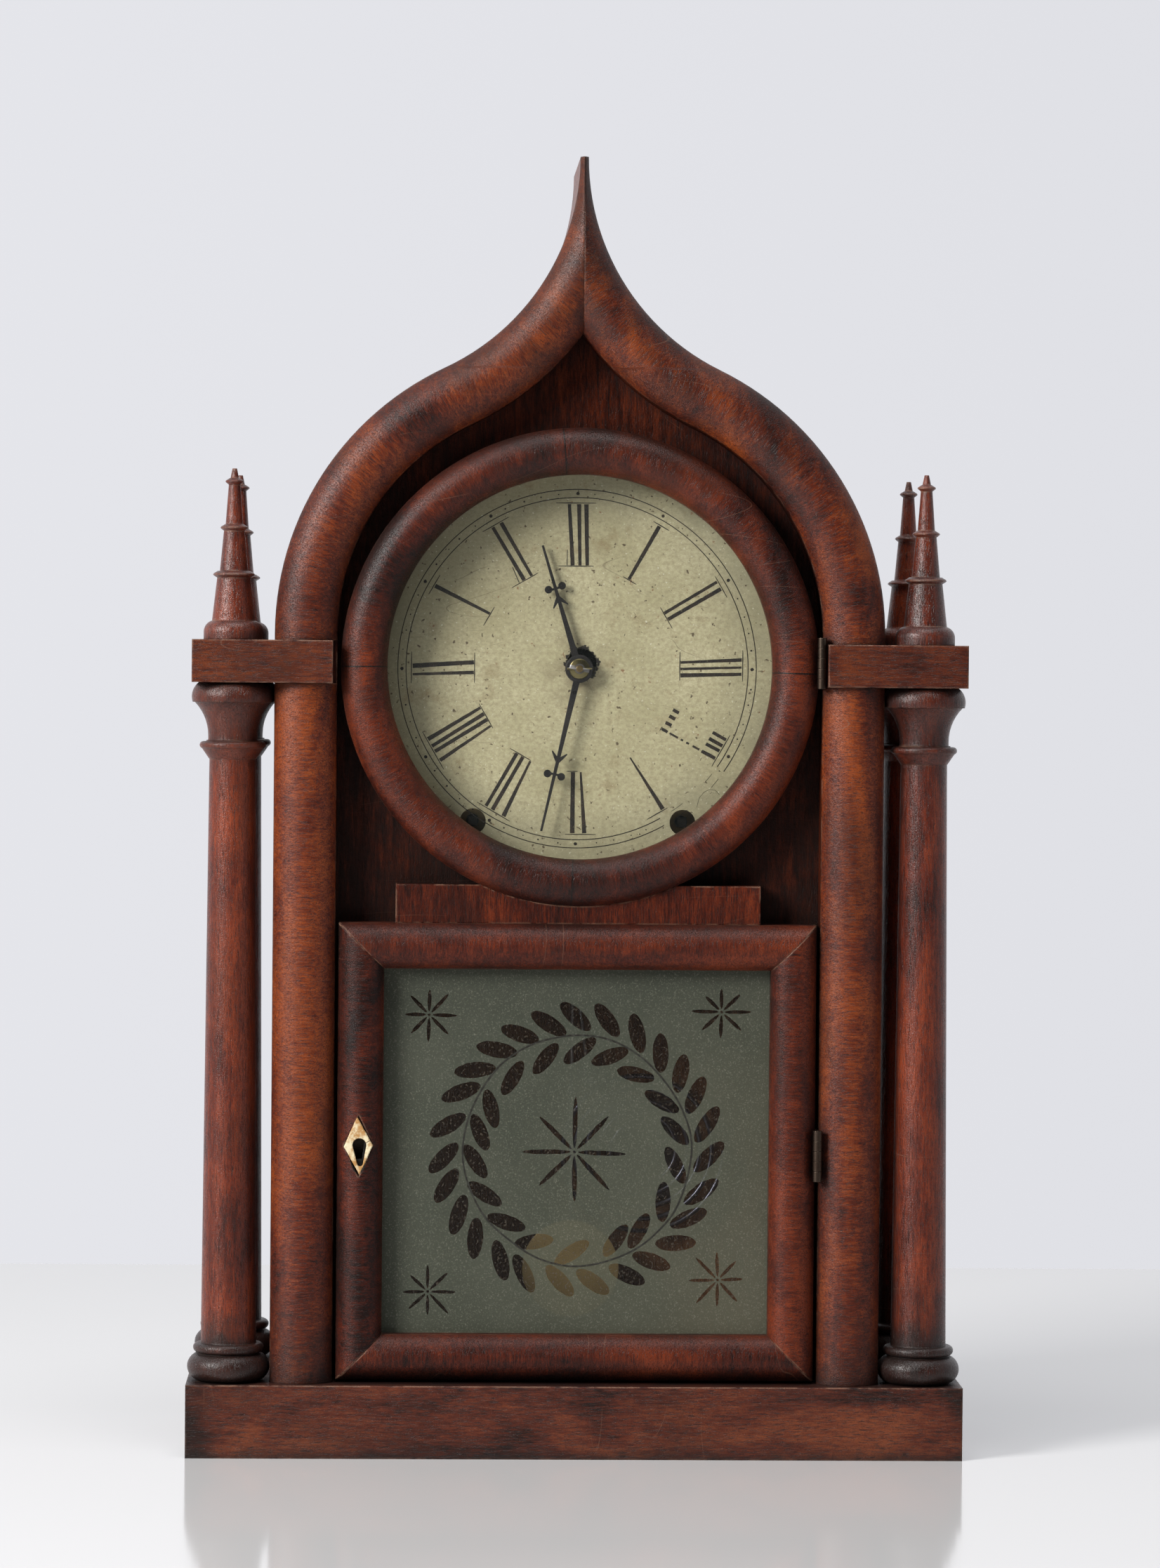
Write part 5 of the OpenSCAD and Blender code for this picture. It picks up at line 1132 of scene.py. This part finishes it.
# %% The wound wire
wire_d, boss_r, gong_r = 0.0024, 0.006, 0.038
loops, per_loop = 5, 48
clamp_at, gong_y = middle_of("gong_block"), middle_of("gong").y
start_r = boss_r + 2 * wire_d
route = [(boss_r - 0.003, 0.0), (boss_r + wire_d, 0.0)]
for i in range(loops * per_loop + 1):
    out = start_r + (gong_r - start_r) * i / (loops * per_loop)
    turn = 2 * math.pi * i / per_loop
    route.append((out * math.cos(turn), out * math.sin(turn)))
chain = bpy.data.meshes.new("gong_route")
chain.from_pydata([(clamp_at.x + x, gong_y, clamp_at.z + z) for x, z in route],
                  [(i, i + 1) for i in range(len(route) - 1)], [])
wire_mesh = grown("gong_wire", chain, drawing, {"Radius": 0.47 * wire_d, "Sides": 14, "Finish": gong_steel})
gong_wire = put("gong_wire", wire_mesh)
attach(gong_wire, "case")
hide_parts("gong")
print("gong:", len(wire_mesh.polygons), "faces,", loops, "turns")

# %% [markdown]
# ## The bone's finish
# The escutcheon is a sliver of bone, ivory-coloured in the middle and amber towards its points,
# with a hair crack to the right of its keyhole. Light goes a little into bone, and subsurface
# scattering would show that, but at 13 mm wide it can't be seen. So the warmth is in the colour,
# and the stains are a noise that grows stronger towards the points.

# %% Aged bone
aged_bone, tree, shader = material("aged_bone", (0.72, 0.62, 0.45))
spot = on_object(tree)
off = axes(tree, off_axis(tree, key_at.x, key_at.z))
to_point = spread(tree, maths(tree, "ABSOLUTE", off["Z"]), 0.003, 0.011, -0.10, 0.13)
stain = spread(tree, plus(tree, noise(tree, spot, 320, 4.0, 0.65), to_point), 0.38, 0.58, 0.0, 0.9)
above_crack = plus(tree, minus(tree, off["Z"], times(tree, off["X"], 0.6)), 0.0006)
crack = times(tree, spread(tree, maths(tree, "ABSOLUTE", above_crack), 0.00022, 0.00010),
              maths(tree, "GREATER_THAN", off["X"], 0.0024))
marks = use(tree, wear, {"Place": spot, "Radius": 0.0006, "Dirt and shade": 1.0})
# Dirt and painted shade darken the bone's corners.
tone = coated(tree, (0.76, 0.66, 0.44), (stain, (0.40, 0.18, 0.035)), (crack, (0.05, 0.02, 0.01)),
              (marks["Dirt and shade"], (0.16, 0.07, 0.02)))
fill(tree, shader, {"Base Color": tone, "Normal": marks["Normal"], "Roughness": 0.34})
print("aged_bone:", len(tree.nodes), "nodes")

# %% [markdown]
# ## The bone escutcheon
# The little diamond leans by a few degrees, and its keyhole narrows to a round foot, as a file
# leaves it. A cut through a solid would leave sharp, slivered edges. Loops of points at the back,
# at the start of the bevel and at the front make clean sides instead, and the two faces are filled
# between the loops. The keyhole's outline is the hull of two circles: each direction takes the
# point of the circle that reaches furthest that way.

# %% Outlines of the diamond and of its keyhole, in millimetres from the middle
lozenge = [(-0.7, 12.9), (6.35, 0.2), (0.6, -12.9), (-6.35, -0.4)]
key_circles = (((0.45, 0.3), 3.0), ((0.75, -7.7), 1.25))
per_side = 7


def lozenge_loop(shrink):
    """The diamond's outline, drawn in towards its middle by a share."""
    loop = []
    for (x0, z0), (x1, z1) in zip(lozenge, lozenge[1:] + lozenge[:1]):
        for i in range(per_side):
            part = i / per_side
            loop.append(((x0 + (x1 - x0) * part) * (1 - shrink), (z0 + (z1 - z0) * part) * (1 - shrink)))
    return loop


def keyhole_loop(grow, steps=44):
    """The hull of the keyhole's two circles, each grown by a length."""
    loop = []
    for i in range(steps):
        turn = 2 * math.pi * i / steps
        aim = (math.cos(turn), math.sin(turn))
        (x, z), r = max(key_circles, key=lambda c: c[0][0] * aim[0] + c[0][1] * aim[1] + c[1])
        loop.append((x + (r + grow) * aim[0], z + (r + grow) * aim[1]))
    return loop


print("diamond of", len(lozenge_loop(0)), "points, keyhole of", len(keyhole_loop(0)))

# %% The diamond as a piece
bone_low, bone_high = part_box("escutcheon")
bevel, drawn_in, flared = 0.0003, 0.05, 0.22
hand = random.Random(5)
filed = [(hand.uniform(-0.07, 0.07), hand.uniform(-0.07, 0.07)) for _ in range(len(lozenge) * per_side)]
plate = bmesh.new()


def laid(loop, y, shifts=None):
    shifts = shifts or [(0, 0)] * len(loop)
    return [plate.verts.new((key_at.x + (x + dx) * mm, y, key_at.z + (z + dz) * mm))
            for (x, z), (dx, dz) in zip(loop, shifts)]


def around(ring):
    return zip(ring, ring[1:] + ring[:1])


outside = [laid(lozenge_loop(0), bone_high.y, filed), laid(lozenge_loop(0), bone_low.y + bevel, filed),
           laid(lozenge_loop(drawn_in), bone_low.y, filed)]
inside = [laid(keyhole_loop(0), bone_high.y), laid(keyhole_loop(0), bone_low.y + bevel),
          laid(keyhole_loop(flared), bone_low.y)]
for rings in (outside, inside):
    for low, high in zip(rings, rings[1:]):
        for (a, b), (c, d) in zip(around(low), around(high)):
            plate.faces.new((a, b, d, c))
for level in (0, 2):
    rims = [plate.edges.get(pair) for ring in (outside[level], inside[level]) for pair in around(ring)]
    bmesh.ops.triangle_fill(plate, use_beauty=True, edges=rims)
bmesh.ops.recalc_face_normals(plate, faces=plate.faces)
bone_diamond = piece_of(plate, "bone_diamond", aged_bone)
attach(bone_diamond, "door")
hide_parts("escutcheon")
print("bone diamond:", len(bone_diamond.data.polygons), "faces")
